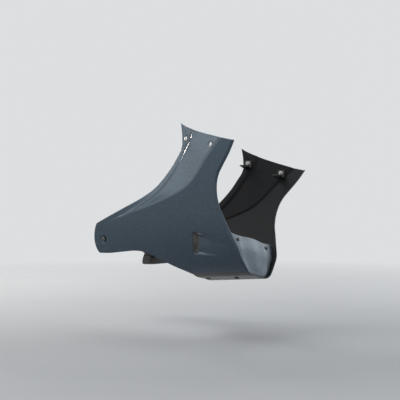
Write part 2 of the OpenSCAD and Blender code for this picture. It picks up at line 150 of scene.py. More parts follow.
@dataclass(frozen=True)
class PanShape:
    """Sizes of the pan's section, outline and moulded forms, and the surface that they give."""

    length: float = 0.594
    height: float = 0.455
    top_half: float = 0.212
    keel_half: float = 0.025
    wall: float = 0.0028
    shoulder_slope: float = 0.25
    line_step: float = 0.003
    line_fall: float = 0.007
    strip_sink: float = 0.004
    strip_fall: float = 0.014
    strip_width: float = 0.013
    strip_flare: float = 0.027
    lip_roll: float = 0.004
    lip_width: float = 0.006
    slot_width: float = 0.017
    slot_height: float = 0.064
    slot_lean: float = math.radians(11)
    scoop_length: float = 0.108
    scoop_depth: float = 0.013
    scoop_fall: tuple[float, float] = (0.014, 0.04)
    scoop_margin: float = 0.002
    scoop_ledge: float = 0.0038
    scoop_ease: tuple[float, float] = (0.0042, 0.009)
    scoop_floor: float = 0.42
    seam_y: float = 0.010
    seam_gap: float = 0.0008
    lift: float = 0.0027
    samples: int = 60

    @property
    def nose_x(self) -> float:
        """Where the keel ends at the nose."""
        return 0.475 * self.length

    @property
    def tail_x(self) -> float:
        """Where the tail ends."""
        return -0.5 * self.length

    @property
    def heel_x(self) -> float:
        """Where the keel ends at the rear."""
        return 0.131 * self.length

    @property
    def slot_centre(self) -> tuple[float, float]:
        """The middle of the vent slot, as X and Z."""
        return self.nose_x - 0.164, 0.2 * self.height

    def sized(self, shares: Array) -> Array:
        """Shares of the length and of the height as X and Z."""
        return np.asarray(shares) * (self.length, self.height)

    @property
    def upper_edge(self) -> Array:
        """The upper edge from the tail to the tip, as shares."""
        return np.array([(-.462, .37), (-.36, .415), (-.272, .455), (-.147, .514), (-.047, .578),
                         (.035, .672), (.088, .76), (.12, .835), (.116, .92), (.1, 1)])

    @property
    def lower_edge(self) -> Array:
        """The lower edge from the tail to the heel, as shares."""
        return np.array([(-.475, .169), (-.4, .165), (-.313, .169), (-.215, .171), (-.148, .156),
                         (-.056, .11), (.005, .071), (.071, .037), (.118, .012)])

    @property
    def front_edge(self) -> Array:
        """The front edge from the nose to the front corner, as shares."""
        return np.array([(.475, .012), (.474, .04), (.463, .103), (.453, .176), (.424, .266), (.399, .347),
                         (.379, .417), (.37, .491), (.374, .565), (.39, .624), (.416, .673), (.463, .754),
                         (.498, .829)])

    @property
    def character_line(self) -> Array:
        """The character line from the top to the tail, as shares."""
        return np.array([(.47, .885), (.433, .864), (.402, .829), (.367, .787), (.316, .721), (.259, .637),
                         (.19, .565), (.088, .512), (-.034, .468), (-.152, .435), (-.286, .4), (-.5, .32)])

    def path(self, shares: Array) -> Array:
        """A sampled curve through shares, in metres."""
        return self.sized(curve_at(shares, np.linspace(0, 1, self.samples)))

    def half_width(self, q: Array) -> Array:
        """Half width at a station, which is 0 at the keel's edge and 1 at the top."""
        spread = self.top_half - self.keel_half
        return self.keel_half + spread * np.where(q < 0, 0.9 * q, np.maximum(q, 0) ** 0.9)

    def rise(self, q: Array) -> Array:
        """Height at a station."""
        return self.height * np.maximum(q, 0) ** 2

    def station(self, z: Array) -> Array:
        """Station at a height."""
        return np.sqrt(np.maximum(z, 0) / self.height)

    def behind_line(self, at: Array) -> Array:
        """Distance behind the character line, negative in front of it."""
        gap, hand = path_gap(at, self.path(self.character_line))
        return gap * hand

    def into_strip(self, at: Array) -> Array:
        """How far a point lies inside the sunk strip along the upper edge, negative outside it."""
        flare = self.strip_flare * ramp((at[:, 1] - 0.78 * self.height) / 0.07)
        return self.strip_width + flare - path_gap(at, self.path(self.upper_edge))[0]

    def scoop(self, x: Array, z: Array) -> Array:
        """Depth of the wedge that leads the air into the vent slot."""
        slot_x, slot_z = self.slot_centre
        share = np.clip((slot_x + self.slot_width / 2 + self.scoop_length - x) / self.scoop_length, 0, 1)
        low = slot_z - self.slot_height / 2 - self.scoop_margin - self.scoop_fall[0] * (1 - share)
        top = slot_z + self.slot_height / 2 + self.scoop_margin - self.scoop_fall[1] * (1 - share)
        middle = slot_x + (z - slot_z) * math.tan(self.slot_lean)
        face = ramp((x - middle + 0.45 * self.slot_width) / (0.7 * self.slot_width))
        ledge, crease = (self.scoop_ledge + ease * share for ease in self.scoop_ease)
        height = ramp((z - low) / ledge) * ramp((top - z) / crease)
        rest = 1 - self.scoop_floor
        floor = self.scoop_floor + rest * ramp((z - low - ledge) / (0.8 * self.slot_height))
        return self.scoop_depth * share**0.95 * face * height * floor

    def sink(self, x: Array, z: Array) -> Array:
        """How far the outer face sinks below the plain section."""
        at = np.stack([x, z], axis=1)
        fade = ramp((x - self.tail_x - 0.04) / 0.19)
        d = self.behind_line(at)
        lean_in = np.logaddexp(0, (d - self.line_fall / 2) / 0.0012) * 0.0012
        shoulder = fade * (self.line_step * ramp(d / self.line_fall) + self.shoulder_slope * lean_in)
        strip = fade * self.strip_sink * ramp(1 + self.into_strip(at) / self.strip_fall)
        lip_gap = path_gap(at, self.path(self.front_edge))[0]
        lip = self.lip_roll * (1 - ramp(lip_gap / self.lip_width)) * ramp(z / 0.03)
        return np.where(z > 0, shoulder + strip + lip + self.scoop(x, z), 0)

    def outward(self, q: Array) -> Array:
        """Outward direction of the plain section of the right side, as Y and Z."""
        h, at = 0.004, np.maximum(q, 0.02)
        dy = self.half_width(at + h) - self.half_width(at - h)
        dz = self.rise(at + h) - self.rise(at - h)
        turn = np.clip(q / 0.02, 0, 1)[:, None]
        v = np.stack([-dz, -dy], axis=1) / np.hypot(dy, dz)[:, None] * turn
        return unit(v + np.array([0, -1.0]) * (1 - turn))

    def face(self, x: Array, q: Array) -> Array:
        """Points of the right cowl's outer face at places and stations."""
        v, s = self.outward(q), self.sink(x, self.rise(q))
        y = -self.half_width(q) - v[:, 0] * s
        return np.stack([x, y, self.rise(q) - v[:, 1] * s + self.lift], axis=1)

    def normal(self, x: Array, q: Array) -> Array:
        """Outward directions of the right cowl's outer face."""
        dx, dq = 0.0008, 0.002
        along = self.face(x + dx, q) - self.face(x - dx, q)
        up = self.face(x, q + dq) - self.face(x, q - dq)
        return unit(np.cross(along, up))

    def seat(self, x: float, z: float, depth: float = 0.0) -> Matrix:
        """Frame of a seat on the right side: Z outward, X down the face.

        Args:
            x: Place along the pan.
            z: Height of the plain section there.
            depth: How far the seat lies under the outer face.

        Returns:
            The frame as a 4 by 4 matrix.
        """
        at = np.array([x]), self.station(np.array([z]))
        n = Vector(self.normal(*at)[0])
        down = n.cross(Vector((0, 0, -1))).cross(n).normalized()
        spot = Vector(self.face(*at)[0]) - n * depth
        frame = Matrix((down, n.cross(down), n)).transposed().to_4x4()
        frame.translation = spot
        return frame


@dataclass(frozen=True)
class Opening:
    """An opening moulded in a cowl: a slot with round ends, or a round hole if it has no run.

    Args:
        centre: Middle of the opening on the face.
        across: Direction of its width.
        along: Direction of its length.
        radius: Half its width.
        half_run: Half the distance between the centres of its round ends.
        rings: Distance outside the outline and depth under the face, from outside in.
    """

    centre: Vector
    across: Vector
    along: Vector
    radius: float
    half_run: float
    rings: Rings

    def local(self, points: Array) -> Array:
        """Points in the opening's own flat frame."""
        w = points - np.array(self.centre)
        return np.stack([w @ np.array(self.across), w @ np.array(self.along)], axis=1)

    def outside(self, points: Array) -> Array:
        """Distance of points outside the outline, negative inside."""
        p = self.local(points)
        spine = np.clip(p[:, 1], -self.half_run, self.half_run)
        return np.hypot(p[:, 0], p[:, 1] - spine) - self.radius

    def ring(self, near: Array, distance: float) -> Array:
        """Points of the outline, widened by a distance, that lie nearest to given points."""
        p = self.local(near)
        spine = np.stack([0 * p[:, 0], np.clip(p[:, 1], -self.half_run, self.half_run)], axis=1)
        flat = spine + unit(p - spine) * (self.radius + distance)
        width, length = flat[:, :1] * np.array(self.across), flat[:, 1:] * np.array(self.along)
        return np.array(self.centre) + width + length


@dataclass
class Sheet:
    """A thin moulded sheet: an outer face, its inner copy and a rounded rim round every edge.

    Args:
        outer: Points of the outer face.
        normal: Outward direction at each point.
        quads: Corners of the outer face's cells.
        wall: Thickness.
        rim_radius: Rounding of the rims, which stand proud of the edge by as much.
        rim_steps: Steps of each rounding.
    """

    outer: Array
    normal: Array
    quads: Array
    wall: float
    rim_radius: float = 0.001
    rim_steps: int = 3

    def rim_profile(self) -> list[tuple[float, float]]:
        """Depth and reach of the points round a rim, from the outer face to the inner one."""
        r = self.rim_radius
        turn = [(r * (1 - math.cos(a)), r * math.sin(a))
                for a in np.linspace(0, math.pi / 2, self.rim_steps + 1)[1:]]
        return turn + [(self.wall - depth, reach) for depth, reach in reversed(turn)]

    def loops(self) -> list[list[int]]:
        """The open edges of the outer face as closed loops of points, the face on their left."""
        cells = self.quads
        edges = np.concatenate([cells[:, [k, (k + 1) % 4]] for k in range(4)])
        used = {(a, b) for a, b in edges.tolist()}
        follow = {a: b for a, b in used if (b, a) not in used}
        found = []
        while follow:
            start, step = follow.popitem()
            loop = [start]
            while step != start:
                loop.append(step)
                step = follow.pop(step)
            found.append(loop)
        return found

    def face_out(self) -> None:
        """Turns the cells that look inwards."""
        p, c = self.outer, self.quads
        n = np.cross(p[c[:, 2]] - p[c[:, 0]], p[c[:, 3]] - p[c[:, 1]])
        wrong = (n * self.normal[c].sum(axis=1)).sum(axis=1) < 0
        self.quads[wrong] = self.quads[wrong][:, ::-1]

    def build(self, name: str) -> bpy.types.Object:
        """Makes the closed mesh, its inner face in material slot 1.

        Args:
            name: Name of the piece.

        Returns:
            The new object.
        """
        self.face_out()
        count = len(self.outer)
        points = [self.outer, self.outer - self.normal * self.wall]
        cells = [self.quads, self.quads[:, ::-1] + count]
        inner = [np.zeros(len(self.quads), int), np.ones(len(self.quads), int)]
        total = 2 * count
        for loop in self.loops():
            ids = np.array(loop)
            p, n = self.outer[ids], self.normal[ids]
            edge = unit(np.roll(p, -1, axis=0) - p)
            reach = np.cross(edge + np.roll(edge, 1, axis=0), n)
            reach /= np.maximum(np.linalg.norm(reach, axis=1), 1e-9)[:, None]
            rings = [ids]
            for depth, out in self.rim_profile():
                points.append(p - n * depth + reach * out)
                rings.append(np.arange(total, total + len(ids)))
                total += len(ids)
            rings.append(ids + count)
            for a, b in zip(rings, rings[1:]):
                cells.append(np.stack([np.roll(a, -1), a, b, np.roll(b, -1)], axis=1))
                inner.append(np.zeros(len(ids), int))
        return mesh_piece(name, np.concatenate(points), np.concatenate(cells), np.concatenate(inner))


def added(name: str, data: bpy.types.ID) -> bpy.types.Object:
    """Adds an object with the given mesh, camera or lamp to the scene."""
    thing = bpy.data.objects.new(name, data)
    bpy.context.scene.collection.objects.link(thing)
    return thing


def mesh_piece(name: str, points: Array, cells: Array, slots: Array) -> bpy.types.Object:
    """Makes a smooth mesh object from points and cells.

    Args:
        name: Name of the piece.
        points: Its points, one a row.
        cells: Corners of its faces.
        slots: Material slot of each face.

    Returns:
        The new object.
    """
    mesh = bpy.data.meshes.new(name)
    mesh.from_pydata(points.tolist(), [], cells.tolist())
    mesh.polygons.foreach_set("material_index", slots)
    mesh.shade_smooth()
    return added(name, mesh)


def only(piece: bpy.types.Object) -> None:
    """Selects one object and nothing else."""
    bpy.ops.object.select_all(action="DESELECT")
    piece.select_set(True)
    bpy.context.view_layer.objects.active = piece


def named(piece: bpy.types.Object, name: str) -> bpy.types.Object:
    """Names a piece and its mesh."""
    piece.name = piece.data.name = name
    return piece


def joined(name: str, pieces: list[bpy.types.Object]) -> bpy.types.Object:
    """Joins objects into the first one and names it."""
    only(pieces[0])
    for other in pieces[1:]:
        other.select_set(True)
    bpy.ops.object.join()
    return named(pieces[0], name)


def smoothed(piece: bpy.types.Object, angle: float = SMOOTH_ANGLE) -> bpy.types.Object:
    """Smooths a piece but for its edges that are sharper than an angle in degrees."""
    only(piece)
    bpy.ops.object.shade_smooth_by_angle(angle=math.radians(angle))
    return piece


def edited(piece: bpy.types.Object, *steps: Callable[[], object]) -> bpy.types.Object:
    """Runs steps of mesh editing, each on everything in a piece."""
    only(piece)
    bpy.ops.object.mode_set(mode="EDIT")
    for step in steps:
        bpy.ops.mesh.select_all(action="SELECT")
        step()
    bpy.ops.object.mode_set(mode="OBJECT")
    return piece


def applied(piece: bpy.types.Object, kind: str, **settings) -> None:
    """Adds a modifier with its settings to a piece and applies it."""
    only(piece)
    modifier = piece.modifiers.new(kind.title(), kind)
    for key, value in settings.items():
        setattr(modifier, key, value)
    bpy.ops.object.modifier_apply(modifier=modifier.name)


def rounded(piece: bpy.types.Object, width: float, angle: float = SMOOTH_ANGLE) -> None:
    """Rounds the sharp edges of a piece and smooths the rest."""
    applied(piece, "BEVEL", width=width, segments=2, limit_method="ANGLE",
            angle_limit=math.radians(angle), use_clamp_overlap=True)
    smoothed(piece, angle)


def turned(name: str, profile: list[tuple[float, float]], closed: bool = False,
           steps: int = 48) -> bpy.types.Object:
    """Turns a profile about Z, as on a lathe.

    Args:
        name: Name of the piece.
        profile: Radius and height of each point.
        closed: Whether the last point joins the first, as on a ring.
        steps: Faces round the piece.

    Returns:
        The new object, smooth but for its sharp edges.
    """
    count = len(profile)
    edges = [(k, (k + 1) % count) for k in range(count if closed else count - 1)]
    mesh = bpy.data.meshes.new(name)
    mesh.from_pydata([(r, 0, z) for r, z in profile], edges, [])
    middle, up = (0, 0, 0), (0, 0, 1)
    piece = edited(added(name, mesh),
                   partial(bpy.ops.mesh.spin, steps=steps, angle=2 * math.pi, center=middle, axis=up),
                   partial(bpy.ops.mesh.remove_doubles, threshold=1e-6),
                   partial(bpy.ops.mesh.normals_make_consistent, inside=False))
    return smoothed(piece)


def cut(piece: bpy.types.Object, tool: bpy.types.Object, operation: str = "DIFFERENCE") -> None:
    """Cuts a piece by a tool, or joins or intersects the two, and removes the tool."""
    applied(piece, "BOOLEAN", object=tool, operation=operation, solver="EXACT")
    bpy.data.objects.remove(tool)


def placed(piece: bpy.types.Object, frame: Matrix, side: Side = Side.RIGHT) -> bpy.types.Object:
    """Puts a piece's mesh at a place on the right side, or mirrored on the left."""
    piece.data.transform(frame)
    if side is Side.LEFT:
        piece.data.transform(Matrix.Scale(-1, 4, (0, 1, 0)))
        piece.data.flip_normals()
    return piece


def dressed(piece: bpy.types.Object, slot: int | None, *materials: bpy.types.Material) -> None:
    """Gives a piece its materials.

    Args:
        piece: The piece.
        slot: Material slot of all its faces, or None to keep each face's own.
        materials: The materials in order.
    """
    mesh = piece.data
    own = [face.material_index for face in mesh.polygons]
    mesh.materials.clear()
    for material in materials:
        mesh.materials.append(material)
    mesh.polygons.foreach_set("material_index", own if slot is None else [slot] * len(own))


def slab(name: str, outline: list[tuple[float, float]], low: float, high: float) -> bpy.types.Object:
    """A flat plate with a given outline between two heights.

    Args:
        name: Name of the piece.
        outline: Corners as X and Y, in order.
        low: Height of its lower face.
        high: Height of its upper face.

    Returns:
        The new object.
    """
    mesh = bpy.data.meshes.new(name)
    mesh.from_pydata([(x, y, low) for x, y in outline], [], [range(len(outline))])
    lift = {"value": (0, 0, high - low)}
    return edited(added(name, mesh),
                  partial(bpy.ops.mesh.extrude_region_move, TRANSFORM_OT_translate=lift),
                  partial(bpy.ops.mesh.normals_make_consistent, inside=False))


def bar(sides: int, radius: float, length: float, centre: tuple[float, float, float]) -> bpy.types.Object:
    """A straight bar along Z with a number of flat sides."""
    bpy.ops.mesh.primitive_cylinder_add(vertices=sides, radius=radius, depth=length, location=centre)
    tool = bpy.context.object
    only(tool)
    bpy.ops.object.transform_apply(location=True, rotation=True, scale=True)
    return tool


def drill(centre: tuple[float, float, float], radius: float, length: float = 0.05) -> bpy.types.Object:
    """A round tool along Z that cuts a hole."""
    return bar(48, radius, length, centre)


def hexagon(across: float, depth: float, z: float) -> bpy.types.Object:
    """A six-sided bar about Z whose lower end is at a height."""
    return bar(6, across / 2, depth, (0, 0, z + depth / 2))


class EffectGroup:
    """Shader groups that several finishes share. Each is built once."""

    @staticmethod
    def begun(name: str, inputs: dict[str, float],
              *outputs: str) -> tuple["Net", bpy.types.Node, bpy.types.Node, bpy.types.NodeSocket]:
        """Starts a group.

        Args:
            name: Name of the group.
            inputs: Its number inputs and their first values.
            outputs: Names of its number outputs.

        Returns:
            Its net, its input and output nodes, and the Object coordinates.
        """
        group = bpy.data.node_groups.new(name, "ShaderNodeTree")
        for key, value in inputs.items():
            socket = group.interface.new_socket(key, in_out="INPUT", socket_type="NodeSocketFloat")
            socket.default_value = value
        for key in outputs:
            group.interface.new_socket(key, in_out="OUTPUT", socket_type="NodeSocketFloat")
        net = Net(group)
        start, end = net.add("NodeGroupInput"), net.add("NodeGroupOutput")
        return net, start, end, net.add("ShaderNodeTexCoord").outputs["Object"]

    @classmethod
    @cache
    def grain(cls) -> bpy.types.NodeTree:
        """Fine moulded grain: a height and a slow mask, on Object coordinates."""
        net, start, end, where = cls.begun("moulded_grain", {"Scale": 900.0, "Patch": 18.0}, "Height", "Mask")
        fine = net.add("ShaderNodeTexNoise", inputs={"Detail": 3.0, "Roughness": 0.6})
        pits = net.add("ShaderNodeTexVoronoi")
        slow = net.add("ShaderNodeTexNoise", inputs={"Detail": 4.0, "Roughness": 0.55})
        for texture, scale in ((fine, "Scale"), (pits, "Scale"), (slow, "Patch")):
            net.link(where, texture.inputs["Vector"])
            net.link(start.outputs[scale], texture.inputs["Scale"])
        height = net.math("ADD", fine.outputs["Fac"], pits.outputs["Distance"])
        net.link(height, end.inputs["Height"])
        net.link(slow.outputs["Fac"], end.inputs["Mask"])
        return net.tree

    @classmethod
    @cache
    def flakes(cls) -> bpy.types.NodeTree:
        """Metal flakes in paint: the brightness of each flake."""
        net, start, end, where = cls.begun("paint_flakes", {"Scale": 1500.0, "Depth": 0.2}, "Sparkle")
        cells = net.add("ShaderNodeTexVoronoi")
        net.link(where, cells.inputs["Vector"])
        net.link(start.outputs["Scale"], cells.inputs["Scale"])
        split = net.add("ShaderNodeSeparateColor")
        net.link(cells.outputs["Color"], split.inputs["Color"])
        centred = net.math("SUBTRACT", split.outputs["Red"], 0.5)
        spread = net.math("MULTIPLY", centred, start.outputs["Depth"])
        net.link(net.math("ADD", spread, 1.0), end.inputs["Sparkle"])
        return net.tree

    @classmethod
    @cache
    def scuffs(cls) -> bpy.types.NodeTree:
        """Hair scratches and smudges as one mask."""
        net, start, end, where = cls.begun("scuffs", {"Scale": 60.0, "Amount": 0.5}, "Mask")
        stretched = net.add("ShaderNodeMapping")
        stretched.inputs["Scale"].default_value = (0.12, 1.0, 1.6)
        stretched.inputs["Rotation"].default_value = (0.0, 0.35, 0.0)
        net.link(where, stretched.inputs["Vector"])
        hairs = net.add("ShaderNodeTexNoise", inputs={"Detail": 8.0, "Roughness": 0.75})
        net.link(stretched.outputs["Vector"], hairs.inputs["Vector"])
        net.link(start.outputs["Scale"], hairs.inputs["Scale"])
        peaks = net.math("SUBTRACT", hairs.outputs["Fac"], 0.5)
        net.link(net.math("MULTIPLY", net.math("MAXIMUM", peaks, 0.0), start.outputs["Amount"]),
                 end.inputs["Mask"])
        return net.tree


class Net:
    """Short calls that add and link the nodes of one tree."""

    def __init__(self, tree: bpy.types.NodeTree) -> None:
        """Keeps the tree."""
        self.tree = tree

    def add(self, kind: str, inputs: dict[str, object] | None = None, **settings) -> bpy.types.Node:
        """Adds a node.

        Args:
            kind: Type of the node.
            inputs: First values of its sockets.
            settings: Values of its own properties.

        Returns:
            The node.
        """
        node = self.tree.nodes.new(kind)
        for key, value in settings.items():
            setattr(node, key, value)
        for key, value in (inputs or {}).items():
            node.inputs[key].default_value = value
        return node

    def link(self, source: bpy.types.NodeSocket, target: bpy.types.NodeSocket) -> None:
        """Links two sockets."""
        self.tree.links.new(source, target)

    def group(self, tree: bpy.types.NodeTree, **inputs: float) -> bpy.types.Node:
        """Adds a shared group with its values."""
        node = self.add("ShaderNodeGroup")
        node.node_tree = tree
        for key, value in inputs.items():
            node.inputs[key].default_value = value
        return node

    def dot(self, vector: bpy.types.NodeSocket, way: Vector) -> bpy.types.NodeSocket:
        """Share of a vector that lies along a direction."""
        node = self.add("ShaderNodeVectorMath", operation="DOT_PRODUCT")
        node.inputs[1].default_value = way
        self.link(vector, node.inputs[0])
        return node.outputs["Value"]

    def math(self, operation: str, a: object, b: object) -> bpy.types.NodeSocket:
        """Result of a sum of two sockets or numbers."""
        node = self.add("ShaderNodeMath", operation=operation)
        for socket, value in zip(node.inputs, (a, b)):
            if isinstance(value, bpy.types.NodeSocket):
                self.link(value, socket)
            else:
                socket.default_value = value
        return node.outputs["Value"]

    def ranged(self, value: bpy.types.NodeSocket, low: float, high: float,
               start: float = 0.0, end: float = 1.0) -> bpy.types.NodeSocket:
        """A value between two limits, stretched from start to end."""
        node = self.add("ShaderNodeMapRange", inputs={
            "From Min": start, "From Max": end, "To Min": low, "To Max": high})
        self.link(value, node.inputs["Value"])
        return node.outputs["Result"]

    def mixed(self, share: bpy.types.NodeSocket, a: object, b: object) -> bpy.types.NodeSocket:
        """A colour between two colours or colour sockets."""
        node = self.add("ShaderNodeMix", data_type="RGBA")
        self.link(share, node.inputs[0])
        for socket, value in ((node.inputs[6], a), (node.inputs[7], b)):
            if isinstance(value, bpy.types.NodeSocket):
                self.link(value, socket)
            else:
                socket.default_value = (*value, 1.0)
        return node.outputs[2]


@dataclass(frozen=True)
class Finish:
    """A finish and its plain values. Each kind adds its own detail."""

    name: str
    colour: Colour
    roughness: float
    metallic: float = 0.0
    coat: float = 0.0
    coat_roughness: float = 0.1
    specular: float = 0.5

    def start(self) -> tuple[bpy.types.Material, Net, bpy.types.Node]:
        """Starts the material with its plain values."""
        material = bpy.data.materials.new(self.name)
        material.use_nodes = True
        shader = material.node_tree.nodes["Principled BSDF"]
        plain = {"Base Color": (*self.colour, 1.0), "Roughness": self.roughness, "Metallic": self.metallic,
                 "Coat Weight": self.coat, "Coat Roughness": self.coat_roughness,
                 "Specular IOR Level": self.specular}
        for key, value in plain.items():
            shader.inputs[key].default_value = value
        return material, Net(material.node_tree), shader

    def bump(self, net: Net, shader: bpy.types.Node, height: bpy.types.NodeSocket, depth: float) -> None:
        """Feeds a height into the shader's normal."""
        node = net.add("ShaderNodeBump", inputs={"Strength": 1.0, "Distance": depth})
        net.link(height, node.inputs["Height"])
        net.link(node.outputs["Normal"], shader.inputs["Normal"])

    def build(self) -> bpy.types.Material:
        """Makes the material."""
        raise NotImplementedError


@dataclass(frozen=True)
class MetallicPaint(Finish):
    """Satin metallic paint: flakes, a slow drift of tone and faint orange peel."""

    drift: Colour = (0.1, 0.12, 0.14)
    flake_depth: float = 0.55
    flake_scale: float = 800.0
    # Colour and height of the darker tone along the keel bottom.
    low_tone: Colour = (0.06, 0.052, 0.046)
    low_tone_height: float = 0.006

    def build(self) -> bpy.types.Material:
        """Makes the paint."""
        material, net, shader = self.start()
        grain = net.group(EffectGroup.grain(), Scale=420.0, Patch=7.0)
        flakes = net.group(EffectGroup.flakes(), Scale=self.flake_scale, Depth=self.flake_depth)
        tone = net.mixed(net.ranged(grain.outputs["Mask"], 0.0, 1.0, 0.35, 0.65), self.colour, self.drift)
        sparkle = net.add("ShaderNodeVectorMath", operation="SCALE")
        net.link(tone, sparkle.inputs[0])
        net.link(flakes.outputs["Sparkle"], sparkle.inputs["Scale"])
        place = net.add("ShaderNodeSeparateXYZ")
        net.link(net.add("ShaderNodeTexCoord").outputs["Object"], place.inputs["Vector"])
        # Darker, browner, rougher and less metallic over the lowest few millimetres of Z, along the keel
        # bottom, patchy by the grain's mask.
        low = net.ranged(place.outputs["Z"], 1.0, 0.0, self.low_tone_height, self.low_tone_height * 2.2)
        low_share = net.math("MULTIPLY", low, net.ranged(grain.outputs["Mask"], 0.6, 1.0, 0.35, 0.6))
        net.link(net.mixed(low_share, sparkle.outputs["Vector"], self.low_tone), shader.inputs["Base Color"])
        scuffs = net.group(EffectGroup.scuffs(), Scale=50.0, Amount=0.5)
        worn = net.math("ADD", scuffs.outputs["Mask"], net.math("MULTIPLY", low_share, 0.3))
        plain = net.ranged(grain.outputs["Mask"], self.roughness - 0.03, self.roughness + 0.04)
        net.link(net.math("ADD", worn, plain), shader.inputs["Roughness"])
        net.link(net.ranged(low_share, self.metallic, 0.0), shader.inputs["Metallic"])
        self.bump(net, shader, grain.outputs["Height"], 0.000012)
        return material


@dataclass(frozen=True)
class MouldedPlastic(Finish):
    """Grained black plastic as it comes out of the mould."""

    worn: Colour = (0.045, 0.046, 0.048)
    grain_scale: float = 900.0
    grain_depth: float = 0.00006

    def build(self) -> bpy.types.Material:
        """Makes the plastic."""
        material, net, shader = self.start()
        grain = net.group(EffectGroup.grain(), Scale=self.grain_scale, Patch=14.0)
        scuffs = net.group(EffectGroup.scuffs(), Scale=90.0, Amount=1.6)
        cloud = net.ranged(grain.outputs["Mask"], 0.0, 0.5, 0.45, 0.75)
        haze = net.math("ADD", scuffs.outputs["Mask"], cloud)
        net.link(net.mixed(haze, self.colour, self.worn), shader.inputs["Base Color"])
        net.link(net.ranged(grain.outputs["Mask"], self.roughness - 0.08, self.roughness + 0.1),
                 shader.inputs["Roughness"])
        self.bump(net, shader, grain.outputs["Height"], self.grain_depth)
        return material


@dataclass(frozen=True)
class WorkedMetal(Finish):
    """Turned, plated or coated metal with fine marks of its making."""

    marks: Colour = (0.4, 0.4, 0.39)
    mark_scale: float = 500.0
    mark_depth: float = 0.00002

    def build(self) -> bpy.types.Material:
        """Makes the metal."""
        material, net, shader = self.start()
        grain = net.group(EffectGroup.grain(), Scale=self.mark_scale, Patch=60.0)
        scuffs = net.group(EffectGroup.scuffs(), Scale=320.0, Amount=1.2)
        cloud = net.ranged(grain.outputs["Mask"], 0.0, 0.8, 0.4, 0.7)
        share = net.math("ADD", scuffs.outputs["Mask"], cloud)
        net.link(net.mixed(share, self.colour, self.marks), shader.inputs["Base Color"])
        net.link(net.ranged(share, self.roughness - 0.05, self.roughness + 0.15), shader.inputs["Roughness"])
        self.bump(net, shader, grain.outputs["Height"], self.mark_depth)
        return material


class Palette:
    """The finishes of the pan, each made once."""

    def __init__(self) -> None:
        """Makes every finish."""
        self.paint = MetallicPaint("satin_blue_grey_paint", (0.059, 0.09, 0.12), 0.34, metallic=0.7,
                                   coat=0.4, coat_roughness=0.08, drift=(0.055, 0.084, 0.112)).build()
        # The chin panel wears the cowls' blue-grey paint, but its colour here is painted lighter: painted
        # light for the strong light on its forward and upward face.
        self.chin_paint = MetallicPaint("light_blue_grey_paint", (0.25, 0.305, 0.35), 0.52, metallic=0.3,
                                        coat=0.15, coat_roughness=0.25, drift=(0.235, 0.29, 0.335)).build()
        self.inner = MouldedPlastic("black_moulded_inside", (0.014, 0.0145, 0.016), 0.6, specular=0.25,
                                    worn=(0.03, 0.031, 0.033)).build()
        # The foil's colour and marks are painted far darker than bright foil: painted shade for the dark
        # inside of the vent slot.
        self.foil = WorkedMetal("embossed_foil", (0.085, 0.083, 0.08), 0.72, metallic=1.0,
                                marks=(0.045, 0.044, 0.042), mark_scale=260.0, mark_depth=0.00015).build()
        self.stay = WorkedMetal("black_coated_steel", (0.022, 0.022, 0.024), 0.42, metallic=0.0, coat=0.2,
                                marks=(0.05, 0.05, 0.05), mark_scale=700.0, mark_depth=0.00004).build()
        self.screw = WorkedMetal("bright_steel", (0.72, 0.72, 0.7), 0.22, metallic=1.0,
                                 marks=(0.5, 0.5, 0.49), mark_scale=900.0).build()
        self.dark_screw = WorkedMetal("blackened_steel", (0.11, 0.11, 0.115), 0.26, metallic=1.0,
                                      marks=(0.2, 0.2, 0.2), mark_scale=900.0).build()
        self.zinc = WorkedMetal("zinc_plate", (0.56, 0.56, 0.53), 0.34, metallic=1.0,
                                marks=(0.38, 0.38, 0.36), mark_scale=800.0).build()
        self.rubber = MouldedPlastic("black_rubber", (0.014, 0.014, 0.014), 0.75, worn=(0.05, 0.05, 0.048),
                                     grain_scale=1400.0).build()
        self.rivet = MouldedPlastic("black_nylon", (0.02, 0.02, 0.021), 0.42, grain_scale=1600.0,
                                    grain_depth=0.00003).build()


